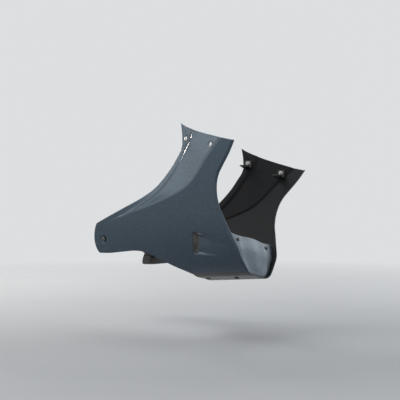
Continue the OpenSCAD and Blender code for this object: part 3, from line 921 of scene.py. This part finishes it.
@dataclass
class Cowl:
    """One moulded cowl with its vent slot, wedge, character line, sunk strip and rolled lip."""

    shape: PanShape
    side: Side
    seats: dict[str, Matrix]
    rows_rear: int = 110
    rows_heel: int = 6
    rows_keel: int = 36
    rows_toe: int = 8
    rows_front: int = 112
    bands: tuple[int, ...] = (7, 8, 14, 8, 100, 6)
    crowding: float = 0.35
    tail_bulge: float = 0.018
    top_sag: float = 0.007
    lip_band: float = 0.008
    fill_step: float = 0.003
    hole_radius: float = 0.0033
    tail_hole_radius: float = 0.006
    slot_rings: Rings = ((0.006, 0), (0.004, 0), (0.0025, 0), (0.0016, 0), (0.001, 0))
    hole_rings: Rings = ((0.0035, 0), (0.002, 0), (0.001, 0))
    tail_rings: Rings = ((0.0105, 0), (0.0085, 0.0001), (0.0073, 0.0007), (0.0058, 0.0022),
                         (0.0048, 0.0029), (0.0036, 0.0032), (0.0022, 0.0032), (0.001, 0.0032))

    def rows(self) -> tuple[Array, Array, Array, Array]:
        """Where the rows start and end, as X and station, and how far the tail and top bend them."""
        s = self.shape
        seam = s.seam_y + s.seam_gap / 2 * self.side.value
        inward = (s.keel_half - seam * self.side.value) / (0.9 * (s.top_half - s.keel_half))
        u = (0.0, 0.7, 0.74, 0.84, 0.86, 1.0)
        rear = curve_at(s.lower_edge, np.linspace(0, 1, self.rows_rear + 1))
        front = curve_at(s.front_edge, np.linspace(0, 1, self.rows_front + 1))
        rear, front = s.sized(rear), s.sized(front)
        rear[:, 1], front[:, 1] = s.station(rear[:, 1]), s.station(front[:, 1])
        heel, toe = np.array([s.heel_x, -inward]), np.array([s.nose_x, -inward])
        parts = [rear]
        for a, b, n in ((rear[-1], heel, self.rows_heel), (heel, toe, self.rows_keel),
                        (toe, front[0], self.rows_toe)):
            parts.append(a + (b - a) * np.linspace(0, 1, n + 1)[1:, None])
        ends = np.concatenate([*parts, front[1:]])
        counts = (self.rows_rear, self.rows_heel, self.rows_keel, self.rows_toe, self.rows_front)
        share = np.concatenate([[0.0], *(np.linspace(a, b, n + 1)[1:] for a, b, n in zip(u, u[1:], counts))])
        starts = s.sized(curve_at(s.upper_edge, share))
        starts[:, 1] = s.station(starts[:, 1])
        index = np.arange(len(ends))
        tail = np.maximum(0, 1 - index / (0.4 * self.rows_rear)) ** 2
        top = np.maximum(0, 1 - (index[-1] - index) / (0.444 * self.rows_front)) ** 2
        return starts, ends, tail, top

    def share_at(self, starts: Array, ends: Array, measure, target: float) -> Array:
        """Share of each row at which a falling measure of the point reaches its target."""
        low, high = np.zeros(len(starts)), np.ones(len(starts))
        for _ in range(18):
            mid = (low + high) / 2
            at = starts + (ends - starts) * mid[:, None]
            above = measure(np.stack([at[:, 0], self.shape.rise(at[:, 1])], axis=1)) > target
            low, high = np.where(above, mid, low), np.where(above, high, mid)
        return (low + high) / 2

    def columns(self, starts: Array, ends: Array) -> Array:
        """Shares of each row's columns, banded so that they follow the strip, the line and the lip."""
        s = self.shape
        line = self.share_at(starts, ends, s.behind_line, 0.0)
        fall = self.share_at(starts, ends, s.behind_line, s.line_fall)
        strip = np.minimum(self.share_at(starts, ends, s.into_strip, 0.0), fall * 0.7)
        edge = np.minimum(self.share_at(starts, ends, s.into_strip, -s.strip_fall), fall * 0.85)
        run = np.hypot(ends[:, 0] - starts[:, 0], s.rise(ends[:, 1]) - s.rise(starts[:, 1]))
        lip = 1 - np.minimum(self.lip_band / run, 0.12)
        marks = [0 * line, strip, edge, fall, line, lip, 0 * line + 1]
        steps = []
        for a, b, n in zip(marks, marks[1:], self.bands):
            crowding = self.crowding if n == max(self.bands) else 0.0
            for t in np.arange(n) / n:
                steps.append(a + (b - a) * (t + crowding * t * (1 - t)))
        return np.stack([*steps, marks[-1]], axis=1)

    def grid(self) -> Array:
        """X and station of every point of the plain grid."""
        starts, ends, tail, top = self.rows()
        v = self.columns(starts, ends)
        at = starts[:, None] + (ends - starts)[:, None] * v[..., None]
        arch = np.maximum(0, np.sin(np.pi * v)) ** 0.6
        sag = self.shape.station(self.shape.height) - self.shape.station(self.shape.height - self.top_sag)
        at[..., 0] -= tail[:, None] * self.tail_bulge * arch
        at[..., 1] -= top[:, None] * sag * np.maximum(0, np.sin(np.pi * v**0.6))
        return at

    def openings(self) -> list[Opening]:
        """The vent slot and the screw holes."""
        s = self.shape
        x, z = s.slot_centre
        spot = Vector(s.face(np.array([x]), s.station(np.array([z])))[0])
        spot.z = z + s.lift
        lean = Vector((math.sin(s.slot_lean), 0, math.cos(s.slot_lean)))
        across = Vector((math.cos(s.slot_lean), 0, -math.sin(s.slot_lean)))
        half_run = (s.slot_height - s.slot_width) / 2
        found = [Opening(spot, across, lean, s.slot_width / 2, half_run, self.slot_rings)]
        for name, frame in self.seats.items():
            sizes = (self.hole_radius, 0, self.hole_rings)
            if name == "tail":
                sizes = (self.tail_hole_radius, 0, self.tail_rings)
            found.append(Opening(frame.translation, frame.col[0].to_3d(), frame.col[1].to_3d(), *sizes))
        return found

    def sheet(self) -> Sheet:
        """The cowl's outer face with its openings, ready to be given its wall."""
        s = self.shape
        at = self.grid()
        m, n = at.shape[:2]
        flat = at.reshape(-1, 2)
        face = s.face(flat[:, 0], flat[:, 1])
        ids = np.arange(m * n).reshape(m, n)
        keep = np.ones((m - 1, n - 1), bool)
        extra, depths, cells = [], [], []
        total = m * n
        for opening in self.openings():
            near = (opening.outside(face) < opening.rings[0][0] + 0.002).reshape(m, n)
            rows, cols = np.nonzero(near)
            r0, r1, c0, c1 = rows.min() - 1, rows.max() + 1, cols.min() - 1, cols.max() + 1
            keep[r0:r1, c0:c1] = False
            border = np.concatenate([ids[r0, c0:c1], ids[r0:r1, c1],
                                     ids[r1, c1:c0:-1], ids[r1:r0:-1, c0]])
            ring, hem = border, face[border]
            way = opening.ring(hem, opening.rings[0][0]) - hem
            between = max(2, round(float(np.linalg.norm(way, axis=1).max()) / self.fill_step))
            spots = [(hem + way * k / between, 0.0) for k in range(1, between)]
            spots += [(opening.ring(hem, distance), depth) for distance, depth in opening.rings]
            for spot, depth in spots:
                extra.append(np.stack([spot[:, 0], s.station(spot[:, 2] - s.lift)], axis=1))
                depths.append(np.full(len(border), depth))
                fresh = np.arange(total, total + len(border))
                total += len(border)
                cells.append(np.stack([ring, np.roll(ring, -1), np.roll(fresh, -1), fresh], axis=1))
                ring = fresh
        quads = np.concatenate([cell_grid(ids)[keep], *cells])
        points = np.concatenate([flat, *extra])
        depth = np.concatenate([np.zeros(m * n), *depths])
        used = np.unique(quads)
        renumber = np.zeros(total, int)
        renumber[used] = np.arange(len(used))
        points, depth, quads = points[used], depth[used], renumber[quads]
        normal = s.normal(points[:, 0], points[:, 1])
        outer = s.face(points[:, 0], points[:, 1]) - normal * depth[:, None]
        return Sheet(outer * self.side.flip, normal * self.side.flip, quads, s.wall)

    def build(self) -> bpy.types.Object:
        """Makes the cowl."""
        return self.sheet().build(f"{self.side.word}_cowl_shell")


@dataclass(frozen=True)
class ChinPanel:
    """The panel that closes the nose: side facets and a bowed front, with raised upper corners."""

    shape: PanShape
    thickness: float = 0.0025
    setback: float = 0.009
    clearance: float = 0.0013
    bow: float = 0.008
    facet_drop: float = 0.010
    crease: tuple[float, float] = (0.97, 0.55)
    low_station: float = 0.02
    top_station: float = 0.505
    corner_rise: float = 0.015
    middle_rise: float = 0.004
    clip_y: float = 0.074
    clip_z: float = 0.104
    clip_hole: float = 0.0066
    seat_radius: float = 0.0068
    seat_depth: float = 0.0012
    tab_x: tuple[float, float] = (-0.007, 0.0095)
    tab_end: float = 0.011
    tab_low: float = 0.011
    tab_gap: float = 0.0006
    tab_thickness: float = 0.0025
    tab_drop: float = 0.0105
    foot_z: float = 0.0062
    foot_x: float = 0.18615
    foot_half: float = 0.018
    rivet_x: float = 0.20015
    rows: int = 72
    columns: int = 168

    def lip_x(self, z: Array) -> Array:
        """Where the cowls' front lip lies at a height over the keel."""
        path = self.shape.path(self.shape.front_edge)
        low = path[path[:, 1] < 0.55 * self.shape.height]
        return np.interp(z, low[:, 1], low[:, 0])

    def slope(self) -> float:
        """Lean of the panel at its clips."""
        near = self.lip_x(np.array([self.clip_z - 0.008, self.clip_z + 0.008]))
        return math.atan2(near[0] - near[1], 0.016)

    def clip_frame(self) -> Matrix:
        """Frame of the right clip: Z out of the panel, X down it."""
        turn = Matrix.Rotation(math.pi / 2 - self.slope(), 4, "Y")
        x = float(self.lip_x(np.array([self.clip_z]))[0]) - self.setback
        return Matrix.Translation((x, -self.clip_y, self.clip_z + self.shape.lift)) @ turn

    def offset(self, y: Array, z: Array, b: Array, rise: Array) -> Array:
        """How far the panel stands in front of its plain sheet.

        Args:
            y: Places across.
            z: Heights.
            b: Shares of the half width there, from -1 to 1.
            rise: Shares of the panel's height.

        Returns:
            The offsets along X.
        """
        crease = self.crease[0] + (self.crease[1] - self.crease[0]) * rise
        blend = 0.02
        past = np.logaddexp(0, (np.abs(b) - crease) / blend) * blend
        facet = -self.facet_drop * past / (1 - self.crease[1])
        bow = self.bow * ramp((0.6 - np.abs(b)) / 0.6) * ramp((rise - 0.25) / 0.35)
        near = np.hypot(np.abs(y) - self.clip_y, (z - self.clip_z) / math.cos(self.slope()))
        seat = 1 - ramp((near - self.seat_radius) / 0.0022)
        return (facet + bow) * (1 - seat) - self.seat_depth * seat

    def points(self) -> Array:
        """Points of the panel's front face, row by row from the keel up."""
        s = self.shape
        places = np.linspace(0, 1, self.rows + 1), np.linspace(-1, 1, self.columns + 1)
        rise, b = (g.ravel() for g in np.meshgrid(*places, indexing="ij"))
        outer, inner = ramp((np.abs(b) - 0.5) / 0.5), ramp((0.5 - np.abs(b)) / 0.5)
        top = self.top_station + self.corner_rise * outer + self.middle_rise * inner
        q = self.low_station + (top - self.low_station) * rise
        x = np.full(len(q), s.nose_x - 0.04)
        wall = s.face(x, q) - s.normal(x, q) * (s.wall + self.clearance)
        half, z = -wall[:, 1], wall[:, 2]
        y = half * b
        front = self.lip_x(z - s.lift) - self.setback + self.offset(y, z - s.lift, b, rise)
        return np.stack([front, y, z], axis=1)

    def sheet(self) -> Sheet:
        """The panel's front face, without its clip holes."""
        points = self.points()
        m, n = self.rows + 1, self.columns + 1
        grid = points.reshape(m, n, 3)
        normal = unit(np.cross(np.gradient(grid, axis=1), np.gradient(grid, axis=0)).reshape(-1, 3))
        quads = cell_grid(np.arange(m * n).reshape(m, n)).reshape(-1, 4)
        return Sheet(points, normal, quads, self.thickness, rim_radius=0.0008)

    def foot(self) -> bpy.types.Object:
        """The foot that lies on the tongue under the front rivet."""
        y = np.linspace(-self.foot_half, self.foot_half, 13)
        z = self.foot_z + self.thickness / 2
        x = np.full(len(y), self.lip_x(np.array([z]))[0] - self.setback - self.thickness / 2)
        outline = [(self.foot_x, -self.foot_half), *zip(x, y), (self.foot_x, self.foot_half)]
        low = self.foot_z + self.shape.lift
        return slab("chin_foot", outline, low, low + self.thickness)

    def build(self) -> bpy.types.Object:
        """Makes the panel with its foot and holes."""
        panel = self.sheet().build("chin_panel_sheet")
        foot = self.foot()
        rounded(foot, 0.0004)
        cut(foot, drill((self.rivet_x, 0, self.foot_z), KEEL_HOLE))
        for side in Side:
            hole = placed(drill((0, 0, 0), self.clip_hole / 2, 0.03), self.clip_frame(), side)
            cut(panel, hole)
        cut(panel, foot, "UNION")
        return named(smoothed(panel), "nose_panel")

    def tab(self, side: Side) -> bpy.types.Object:
        """The cowl's tab behind the panel, with its clip hole."""
        low = self.shape.station(np.array([self.clip_z - self.tab_low]))
        wall = float(self.shape.half_width(low)[0])
        reach = wall - self.shape.wall / 2 - self.clip_y - self.clearance
        up, down = self.tab_x
        outline = [(up, self.tab_end), (down, self.tab_end), (down, -reach), (up, -reach)]
        top = -self.thickness - self.tab_gap
        tab = slab("clip_tab", outline, top - self.tab_thickness, top)
        for vertex in tab.data.vertices:
            if vertex.co.y < 0:
                vertex.co.z -= self.tab_drop
        rounded(tab, 0.0006)
        cut(tab, drill((0, 0, top), self.clip_hole / 2, 0.02))
        return placed(tab, self.clip_frame(), side)


@dataclass(frozen=True)
class HeatShield:
    """A foil lining on the inner face of a cowl, embossed all over and flat along its hem."""

    shape: PanShape
    side: Side
    middle: tuple[float, float] = (-0.0552, 0.54)
    reach: tuple[float, float] = (0.1188, 0.085)
    depth: float = 0.0039
    foil: float = 0.0006
    emboss: float = 0.00045
    pitch: float = 0.0075
    hem: float = 0.004
    cells: tuple[int, int] = (230, 84)

    def build(self) -> bpy.types.Object:
        """Makes the lining."""
        s, (m, n) = self.shape, self.cells
        places = np.linspace(-1, 1, m + 1), np.linspace(1, -1, n + 1)
        a, b = (g.ravel() for g in np.meshgrid(*places, indexing="ij"))
        x = self.middle[0] + self.reach[0] * a * (1 - 0.05 * b**4)
        q = self.middle[1] + self.reach[1] * b * (1 - 0.12 * a**4)
        normal = s.normal(x, q)
        along, up = (1 - np.abs(a)) * self.reach[0], (1 - np.abs(b)) * self.reach[1] * 0.44
        flat = ramp((np.minimum(along, up) - self.hem) / 0.002)
        u, v = x * math.tau / self.pitch, q * 0.47 * math.tau / self.pitch
        studs = (np.cos(u) + np.cos(u / 2 + v * 0.866) + np.cos(u / 2 - v * 0.866)) / 3
        depth = self.depth + self.emboss * flat * ramp((studs + 0.2) / 0.8)
        points = s.face(x, q) - normal * depth[:, None]
        quads = cell_grid(np.arange((m + 1) * (n + 1)).reshape(m + 1, n + 1)).reshape(-1, 4)
        sheet = Sheet(points * self.side.flip, normal * self.side.flip, quads, self.foil,
                      rim_radius=0.00025, rim_steps=2)
        return sheet.build(f"{self.side.word}_foil_lining")


@dataclass(frozen=True)
class Fasteners:
    """Sizes of the screws, nuts, rubbers and rivets, and the stacks that they form at each seat."""

    shape: PanShape
    screw: float = 0.006
    head: float = 0.0135
    head_height: float = 0.0034
    socket: float = 0.0046
    stay: float = 0.003
    gap: float = 0.0003
    touch: float = 0.0001
    screw_end: float = 0.008
    pitch: float = 0.001
    thread_depth: float = 0.0005
    nut_height: float = 0.0055
    nut_flange: float = 0.0014
    grommet_bore: float = 0.0086
    grommet_groove: float = 0.0014
    grommet_flange: float = 0.0042
    grommet_t: float = 0.0016
    collar_flange: float = 0.0026
    rivet_head: float = 0.0024

    @property
    def collar_top(self) -> float:
        """Height of the collar over its seat."""
        return 2 * self.gap + self.grommet_t + 0.001

    @property
    def collar_end(self) -> float:
        """Depth of the collar under its seat."""
        return self.shape.wall + self.gap + self.grommet_t + 0.0002

    def above(self, soft: bool) -> float:
        """Height of a screw's head over its seat, which is higher on a rubber."""
        return self.collar_top + self.touch if soft else self.gap

    def below(self, soft: bool) -> float:
        """Depth of the stay's outer face under the seat."""
        return self.collar_end + self.touch if soft else self.shape.wall + self.gap

    def bolt(self, soft: bool) -> bpy.types.Object:
        """A button head screw with a hexagon socket and a rolled thread."""
        base, r, crown = self.above(soft), self.head / 2, 0.0005
        end = -self.below(soft) - self.stay - self.screw_end
        shank = self.screw / 2
        profile = [(0, base + self.head_height)]
        for angle in np.radians(np.arange(84, 0, -7)):
            profile.append((r * math.cos(angle), base + crown + (self.head_height - crown) * math.sin(angle)))
        profile += [(r, base + crown), (r - 0.00015, base), (shank + 0.0003, base), (shank, base - 0.0003)]
        z = -self.below(soft) + 0.0005
        while z - self.pitch > end + 0.0007:
            profile += [(shank, z), (shank - self.thread_depth, z - self.pitch / 2)]
            z -= self.pitch
        profile += [(shank, z), (shank - 0.0007, end), (0, end)]
        screw = turned("button_screw", profile)
        cut(screw, hexagon(self.socket, 0.003, base + self.head_height - 0.002))
        rounded(screw, 0.00012, 50)
        return screw

    def nut(self, soft: bool) -> bpy.types.Object:
        """A flange nut with chamfered corners."""
        top = -self.below(soft) - self.stay
        flange, hexa, bore = (self.screw + 0.008) / 2, self.screw + 0.0055, self.screw / 2 + 0.0001
        neck, end, corner, past = top - self.nut_flange, top - self.nut_height, hexa / 2, flange + 0.001
        nut = turned("flange_nut", [
            (0, top), (flange, top), (flange, top - 0.0006), (corner + 0.0002, neck), (corner, neck),
            (corner, end + 0.0006), (corner - 0.0009, end), (0, end)], steps=60)
        wide = hexagon(hexa, self.nut_height - self.nut_flange, end)
        foot = turned("nut_foot", [(0, top + 0.001), (past, top + 0.001), (past, neck), (0, neck)])
        cut(wide, foot, "UNION")
        cut(nut, wide, "INTERSECT")
        cut(nut, drill((0, 0, top), bore, 0.02))
        rounded(nut, 0.0002, 30)
        return nut

    def collar(self) -> bpy.types.Object:
        """The metal collar in the tail's rubber."""
        ease = 0.0002
        r, bore = (self.grommet_bore - self.gap) / 2, self.screw / 2 + ease
        flange, low = r + self.collar_flange, 2 * self.gap + self.grommet_t
        top, end = self.collar_top, -self.collar_end
        return turned("flanged_collar", [
            (bore + ease, end), (bore, end + ease), (bore, top - ease), (bore + ease, top),
            (flange - ease, top), (flange, top - ease), (flange, low + ease), (flange - ease, low),
            (r + ease, low), (r, low - ease), (r, end + ease), (r - ease, end)], closed=True)

    def grommet(self) -> bpy.types.Object:
        """The rubber that holds the tail's collar."""
        r, wall = self.grommet_bore / 2, self.shape.wall
        groove, flange = r + self.grommet_groove, r + self.grommet_flange
        profile = [(r, -wall - self.gap - self.grommet_t + 0.0003), (r, self.gap + self.grommet_t - 0.0003)]
        for low in (self.gap, -wall - self.gap - self.grommet_t):
            round_r = self.grommet_t / 2
            lip = [(flange - round_r + round_r * math.cos(a), low + round_r + round_r * math.sin(a))
                   for a in np.linspace(math.pi / 2, -math.pi / 2, 9)]
            profile += [(r + 0.0003, low + self.grommet_t)] if low > 0 else [(groove, low + self.grommet_t)]
            profile += lip
            profile += [(groove, low)] if low > 0 else [(r + 0.0003, low)]
        return turned("tail_rubber", profile, closed=True)

    def push_rivet(self, head: float, width: float, length: float) -> bpy.types.Object:
        """A plastic push rivet: a domed head with its centre pin, and split legs."""
        r, pin, leg = head / 2, head * 0.24, width / 2
        socket = pin + 0.0004
        profile = [(0, 0.0019), (pin, 0.0019), (pin, 0.0013), (socket, 0.0013), (socket, 0.00225)]
        start = math.acos(socket / r)
        for angle in np.linspace(start, 0.2, 8):
            profile.append((r * math.cos(angle), self.rivet_head * math.sin(angle)))
        profile += [(r, 0.0003), (r - 0.0002, 0), (leg, 0), (leg, -0.0035), (leg - 0.0003, -0.004),
                    (leg - 0.0001, -length + 0.0035), (leg, -length + 0.0025), (leg - 0.0008, -length),
                    (0, -length)]
        rivet = turned("push_rivet", profile)
        slot, recess = (leg, 0.0006, -length - 0.001, -length * 0.45), (pin * 0.75, 0.0004, 0.0014, 0.003)
        for angle in (0.0, math.pi / 2):
            for turn, (x, y, low, high) in ((angle + 0.4, slot), (angle, recess)):
                blade = slab("rivet_cut", [(-x, -y), (x, -y), (x, y), (-x, y)], low, high)
                blade.data.transform(Matrix.Rotation(turn, 4, "Z"))
                cut(rivet, blade)
        return smoothed(rivet)


@dataclass(frozen=True)
class Studio:
    """Camera, lamps, world and floor."""

    yaw: float = math.radians(39.19)
    elevation: float = math.radians(-11.97)
    roll: float = math.radians(4.85)
    target: tuple[float, float, float] = (0.02965, 0.0, 0.25912)
    distance: float = 3.70517
    lens: float = 104.0
    horizon: float = math.radians(2.0)
    ground_drop: float = 0.16
    backdrop: Colour = (0.72, 0.735, 0.75)
    behind_camera: float = 0.3
    floor_fade: tuple[float, float] = (0.8, 2.6)

    def axes(self) -> tuple[Vector, Vector, Vector]:
        """The camera's right, up and back directions."""
        level = math.cos(self.elevation)
        back = Vector((math.sin(self.yaw) * level, -math.cos(self.yaw) * level, math.sin(self.elevation)))
        right = Vector((math.cos(self.yaw), math.sin(self.yaw), 0))
        up = back.cross(right)
        c, s = math.cos(self.roll), math.sin(self.roll)
        return c * right + s * up, c * up - s * right, back

    def ground(self) -> Matrix:
        """Frame of the real ground under the leaning motorcycle: X to the right, Z up."""
        right, up, back = self.axes()
        normal = up * math.cos(self.horizon) + back * math.sin(self.horizon)
        forward = normal.cross(right)
        frame = Matrix((right, forward, normal)).transposed().to_4x4()
        frame.translation = Vector(self.target).project(Vector((1, 0, 0))) - normal * self.ground_drop
        return frame

    def camera(self) -> None:
        """Puts the camera at the photograph's viewing angle."""
        data = bpy.data.cameras.new("photo_camera")
        data.lens = self.lens
        data.sensor_width = 36.0
        data.clip_end = 60.0
        camera = added("photo_camera", data)
        right, up, back = self.axes()
        frame = Matrix((right, up, back)).transposed().to_4x4()
        frame.translation = Vector(self.target) + back * self.distance
        camera.matrix_world = frame
        bpy.context.scene.camera = camera

    def lamp(self, name: str, way: tuple[float, float, float], distance: float, size: tuple[float, float],
             power: float, tint: Colour = (1, 1, 1)) -> None:
        """Adds a soft lamp that looks at the pan.

        Args:
            name: Name of the lamp.
            way: Direction to it from the pan, as right, away and up over the ground.
            distance: How far off it is.
            size: Its width and height.
            power: Its power in watts.
            tint: Its colour.
        """
        data = bpy.data.lights.new(name, "AREA")
        data.shape = "RECTANGLE"
        data.size, data.size_y = size
        data.energy = power
        data.color = tint
        lamp = added(name, data)
        direction = (self.ground().to_3x3() @ Vector(way)).normalized()
        lamp.location = Vector(self.target) + direction * distance
        lamp.rotation_euler = direction.to_track_quat("Z", "Y").to_euler()

    def world(self) -> None:
        """A plain sky that darkens towards the ground, pale where the camera sees it."""
        world = bpy.data.worlds.new("studio")
        world.use_nodes = True
        net = Net(world.node_tree)
        background = world.node_tree.nodes["Background"]
        where = net.add("ShaderNodeTexCoord").outputs["Generated"]
        ground, (_, _, back) = self.ground(), self.axes()
        height = net.dot(where, ground.col[2].to_3d())
        sky = net.add("ShaderNodeValToRGB")
        net.link(net.ranged(height, 0.0, 1.0, -1.0, 1.0), sky.inputs["Fac"])
        stops = sky.color_ramp.elements
        stops[0].position, stops[0].color = 0.3, (0.08, 0.083, 0.088, 1)
        stops[1].position, stops[1].color = 1.0, (0.3, 0.31, 0.325, 1)
        for place, tone in ((0.44, 0.14), (0.53, 0.36), (0.62, 0.52), (0.7, 0.5), (0.82, 0.38)):
            stop = stops.new(place)
            stop.color = (tone * 0.95, tone * 0.99, tone * 1.04, 1)
        behind = net.ranged(net.dot(where, back), 1.0, self.behind_camera, -0.1, 0.75)
        dimmed = net.add("ShaderNodeVectorMath", operation="SCALE")
        net.link(sky.outputs["Color"], dimmed.inputs[0])
        net.link(behind, dimmed.inputs["Scale"])
        rays = net.add("ShaderNodeLightPath").outputs
        seen = net.math("MAXIMUM", rays["Is Camera Ray"], rays["Is Glossy Ray"])
        seen = net.math("MAXIMUM", seen, rays["Is Transmission Ray"])
        net.link(net.mixed(seen, dimmed.outputs["Vector"], self.backdrop), background.inputs["Color"])
        bpy.context.scene.world = world

    def floor(self) -> None:
        """The pale ground, clear from underneath so that it hides nothing in other views."""
        bpy.ops.mesh.primitive_plane_add(size=6.0)
        floor = bpy.context.object
        floor.name = "ground"
        floor.data.transform(self.ground())
        material = bpy.data.materials.new("pale_ground")
        material.use_nodes = True
        net = Net(material.node_tree)
        shader = material.node_tree.nodes["Principled BSDF"]
        shader.inputs["Roughness"].default_value = 0.85
        grain = net.group(EffectGroup.grain(), Scale=240.0, Patch=3.0)
        net.link(net.mixed(grain.outputs["Mask"], (0.6, 0.615, 0.63), (0.66, 0.675, 0.69)),
                 shader.inputs["Base Color"])
        clear = net.add("ShaderNodeBsdfTransparent")
        mix = net.add("ShaderNodeMixShader")
        spread = net.add("ShaderNodeVectorMath", operation="DISTANCE")
        net.link(net.add("ShaderNodeTexCoord").outputs["Object"], spread.inputs[0])
        spread.inputs[1].default_value = self.ground().translation
        fade = net.ranged(spread.outputs["Value"], 0.0, 1.0, *self.floor_fade)
        under = net.add("ShaderNodeNewGeometry").outputs["Backfacing"]
        net.link(net.math("MAXIMUM", fade, under), mix.inputs["Fac"])
        net.link(shader.outputs["BSDF"], mix.inputs[1])
        net.link(clear.outputs["BSDF"], mix.inputs[2])
        net.link(mix.outputs["Shader"], material.node_tree.nodes["Material Output"].inputs["Surface"])
        floor.data.materials.append(material)

    def build(self) -> None:
        """Sets the whole stage."""
        self.camera()
        self.world()
        self.floor()
        self.lamp("sky_panel", (-0.4, 0.5, 1.0), 2.6, (2.8, 1.9), 31)
        self.lamp("left_panel", (-1.0, -0.12, 0.42), 2.5, (1.5, 0.6), 5)
        self.lamp("right_panel", (0.9, 0.5, 0.45), 2.5, (1.4, 1.0), 10)
        self.lamp("crest_lamp", (-0.58, 0.78, 0.25), 2.4, (0.3, 0.3), 9, (1.0, 0.92, 0.8))


@dataclass
class BellyPan:
    """The whole pan: places its seats and builds and dresses its pieces."""

    shape: PanShape = field(default_factory=PanShape)
    palette: Palette = field(default_factory=Palette)
    rear_inset: tuple[float, float] = (0.03, 0.052)
    front_inset: tuple[float, float] = (0.0255, 0.005)
    tail_inset: float = 0.039
    tail_height: float = 0.257
    tail_depth: float = 0.0032
    chin_clip: tuple[float, float, float] = (0.011, 0.006, 0.012)
    keel_rivet: tuple[float, float] = (0.016, 0.008)
    keel_rivets: tuple[tuple[str, float, float], ...] = (("front", 0.20015, 0.0131),
                                                         ("rear", 0.08981, 0.0106))

    def seats(self) -> dict[str, Matrix]:
        """The frames of the right side's screw seats."""
        s = self.shape
        tip, corner = s.sized(s.upper_edge[-1]), s.sized(s.front_edge[-1])
        line = s.path(s.character_line)[::-1]
        front_z = corner[1] - self.front_inset[1]
        front_x = float(np.interp(front_z, line[:, 1], line[:, 0])) - self.front_inset[0]
        return {"upper_rear": s.seat(tip[0] + self.rear_inset[0], tip[1] - self.rear_inset[1]),
                "upper_front": s.seat(front_x, front_z),
                "tail": s.seat(s.tail_x + self.tail_inset, self.tail_height * s.height, self.tail_depth)}

    def finish(self, piece: bpy.types.Object, node: str, slot: str,
               *materials: bpy.types.Material) -> None:
        """Dresses a piece, lets it ride on the body and lets it stand for its node."""
        if materials:
            dressed(piece, 0, *materials)
        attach(piece, ROOT)
        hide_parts(node)
        LOG.info("%s stands for %s: %d faces", piece.name, node, len(piece.data.polygons))

    def tongue(self) -> bpy.types.Object:
        """The left cowl's tongue, stepped up to lap over the right keel flat."""
        s = self.shape
        seam, high = s.seam_y + s.seam_gap / 2, 2 * s.wall + 0.0003
        root, lap, end = s.wall - 0.0004, s.wall + 0.0003, seam - 0.02
        outline = [(seam + 0.0112, root), (seam + 0.0112, high), (end, high), (end, lap),
                   (seam + 0.0012, lap), (seam + 0.0027, root)]
        tongue = slab("keel_tongue", outline, s.heel_x + 0.008, s.nose_x - 0.02)
        along = Matrix(((0, 0, 1, 0), (1, 0, 0, 0), (0, 1, 0, 0), (0, 0, 0, 1)))
        tongue.data.transform(Matrix.Translation((0, 0, s.lift)) @ along)
        rounded(tongue, 0.0003)
        for _, x, _ in self.keel_rivets:
            cut(tongue, drill((x, 0, high), KEEL_HOLE))
        return tongue

    def cowls(self) -> None:
        """Builds both cowls, the chin panel and the linings."""
        chin = ChinPanel(self.shape)
        for side in Side:
            parts = [Cowl(self.shape, side, self.seats()).build(), chin.tab(side)]
            if side is Side.LEFT:
                parts.append(self.tongue())
            for slot, part in zip((None, 1, 1), parts):
                dressed(part, slot, self.palette.paint, self.palette.inner)
            cowl = joined(f"{side.word}_moulding", parts)
            self.finish(cowl, f"{side.word}_cowl", "paint")
            lining = HeatShield(self.shape, side).build()
            self.finish(lining, f"{side.word}_heat_shield", "foil", self.palette.foil)
        self.finish(chin.build(), "chin_panel", "chin_paint", self.palette.chin_paint)

    def stays(self, nodes: dict[str, bpy.types.Object]) -> None:
        """Copies each bent stay, welds its mesh and rounds its edges."""
        for name in [name for name in nodes if name.endswith("_stay")]:
            piece = edited(added(name.replace("_stay", "_angle_stay"), nodes[name].data.copy()),
                           partial(bpy.ops.mesh.remove_doubles, threshold=2e-6),
                           partial(bpy.ops.mesh.dissolve_limited, angle_limit=math.radians(1)))
            rounded(piece, 0.0004)
            self.finish(piece, name, "black_steel", self.palette.stay)

    def fasteners(self) -> None:
        """Builds every screw, nut, rubber, collar and rivet."""
        kit = Fasteners(self.shape)
        for place, frame in self.seats().items():
            soft = place == "tail"
            for side in Side:
                screw = self.palette.dark_screw if soft else self.palette.screw
                kinds = [("bolt", "screw_steel", screw, kit.bolt(soft)),
                         ("nut", "zinc_steel", self.palette.zinc, kit.nut(soft))]
                if soft:
                    kinds += [("collar", "zinc_steel", self.palette.zinc, kit.collar()),
                              ("grommet", "rubber", self.palette.rubber, kit.grommet())]
                for kind, slot, material, piece in kinds:
                    named(placed(piece, frame, side), f"{side.word}_{place}_{kind}_piece")
                    self.finish(piece, f"{side.word}_{place}_{kind}", slot, material)
        clip = ChinPanel(self.shape).clip_frame() @ Matrix.Translation((0, 0, kit.gap))
        for side in Side:
            piece = placed(kit.push_rivet(*self.chin_clip), clip, side)
            named(piece, f"{side.word}_nose_rivet")
            self.finish(piece, f"{side.word}_chin_clip", "rivet_plastic", self.palette.rivet)
        for place, x, length in self.keel_rivets:
            under = Matrix.Translation((x, 0, self.shape.lift - kit.gap))
            piece = placed(kit.push_rivet(*self.keel_rivet, length), under @ Matrix.Rotation(math.pi, 4, "X"))
            named(piece, f"{place}_underside_rivet")
            self.finish(piece, f"{place}_keel_rivet", "rivet_plastic", self.palette.rivet)

    def build(self, nodes: dict[str, bpy.types.Object]) -> None:
        """Builds and dresses the whole pan."""
        self.cowls()
        self.stays(nodes)
        self.fasteners()


def main(nodes: dict[str, bpy.types.Object]) -> None:
    """Builds the stage and the pan, and reports each piece.

    Args:
        nodes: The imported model's nodes by name.
    """
    scene = bpy.context.scene
    scene.view_settings.view_transform = "Standard"
    Studio().build()
    BellyPan().build(nodes)


if __name__ == "__main__":
    logging.basicConfig(level=logging.INFO, format="%(name)s: %(message)s")
    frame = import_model()
    main(frame["nodes"])
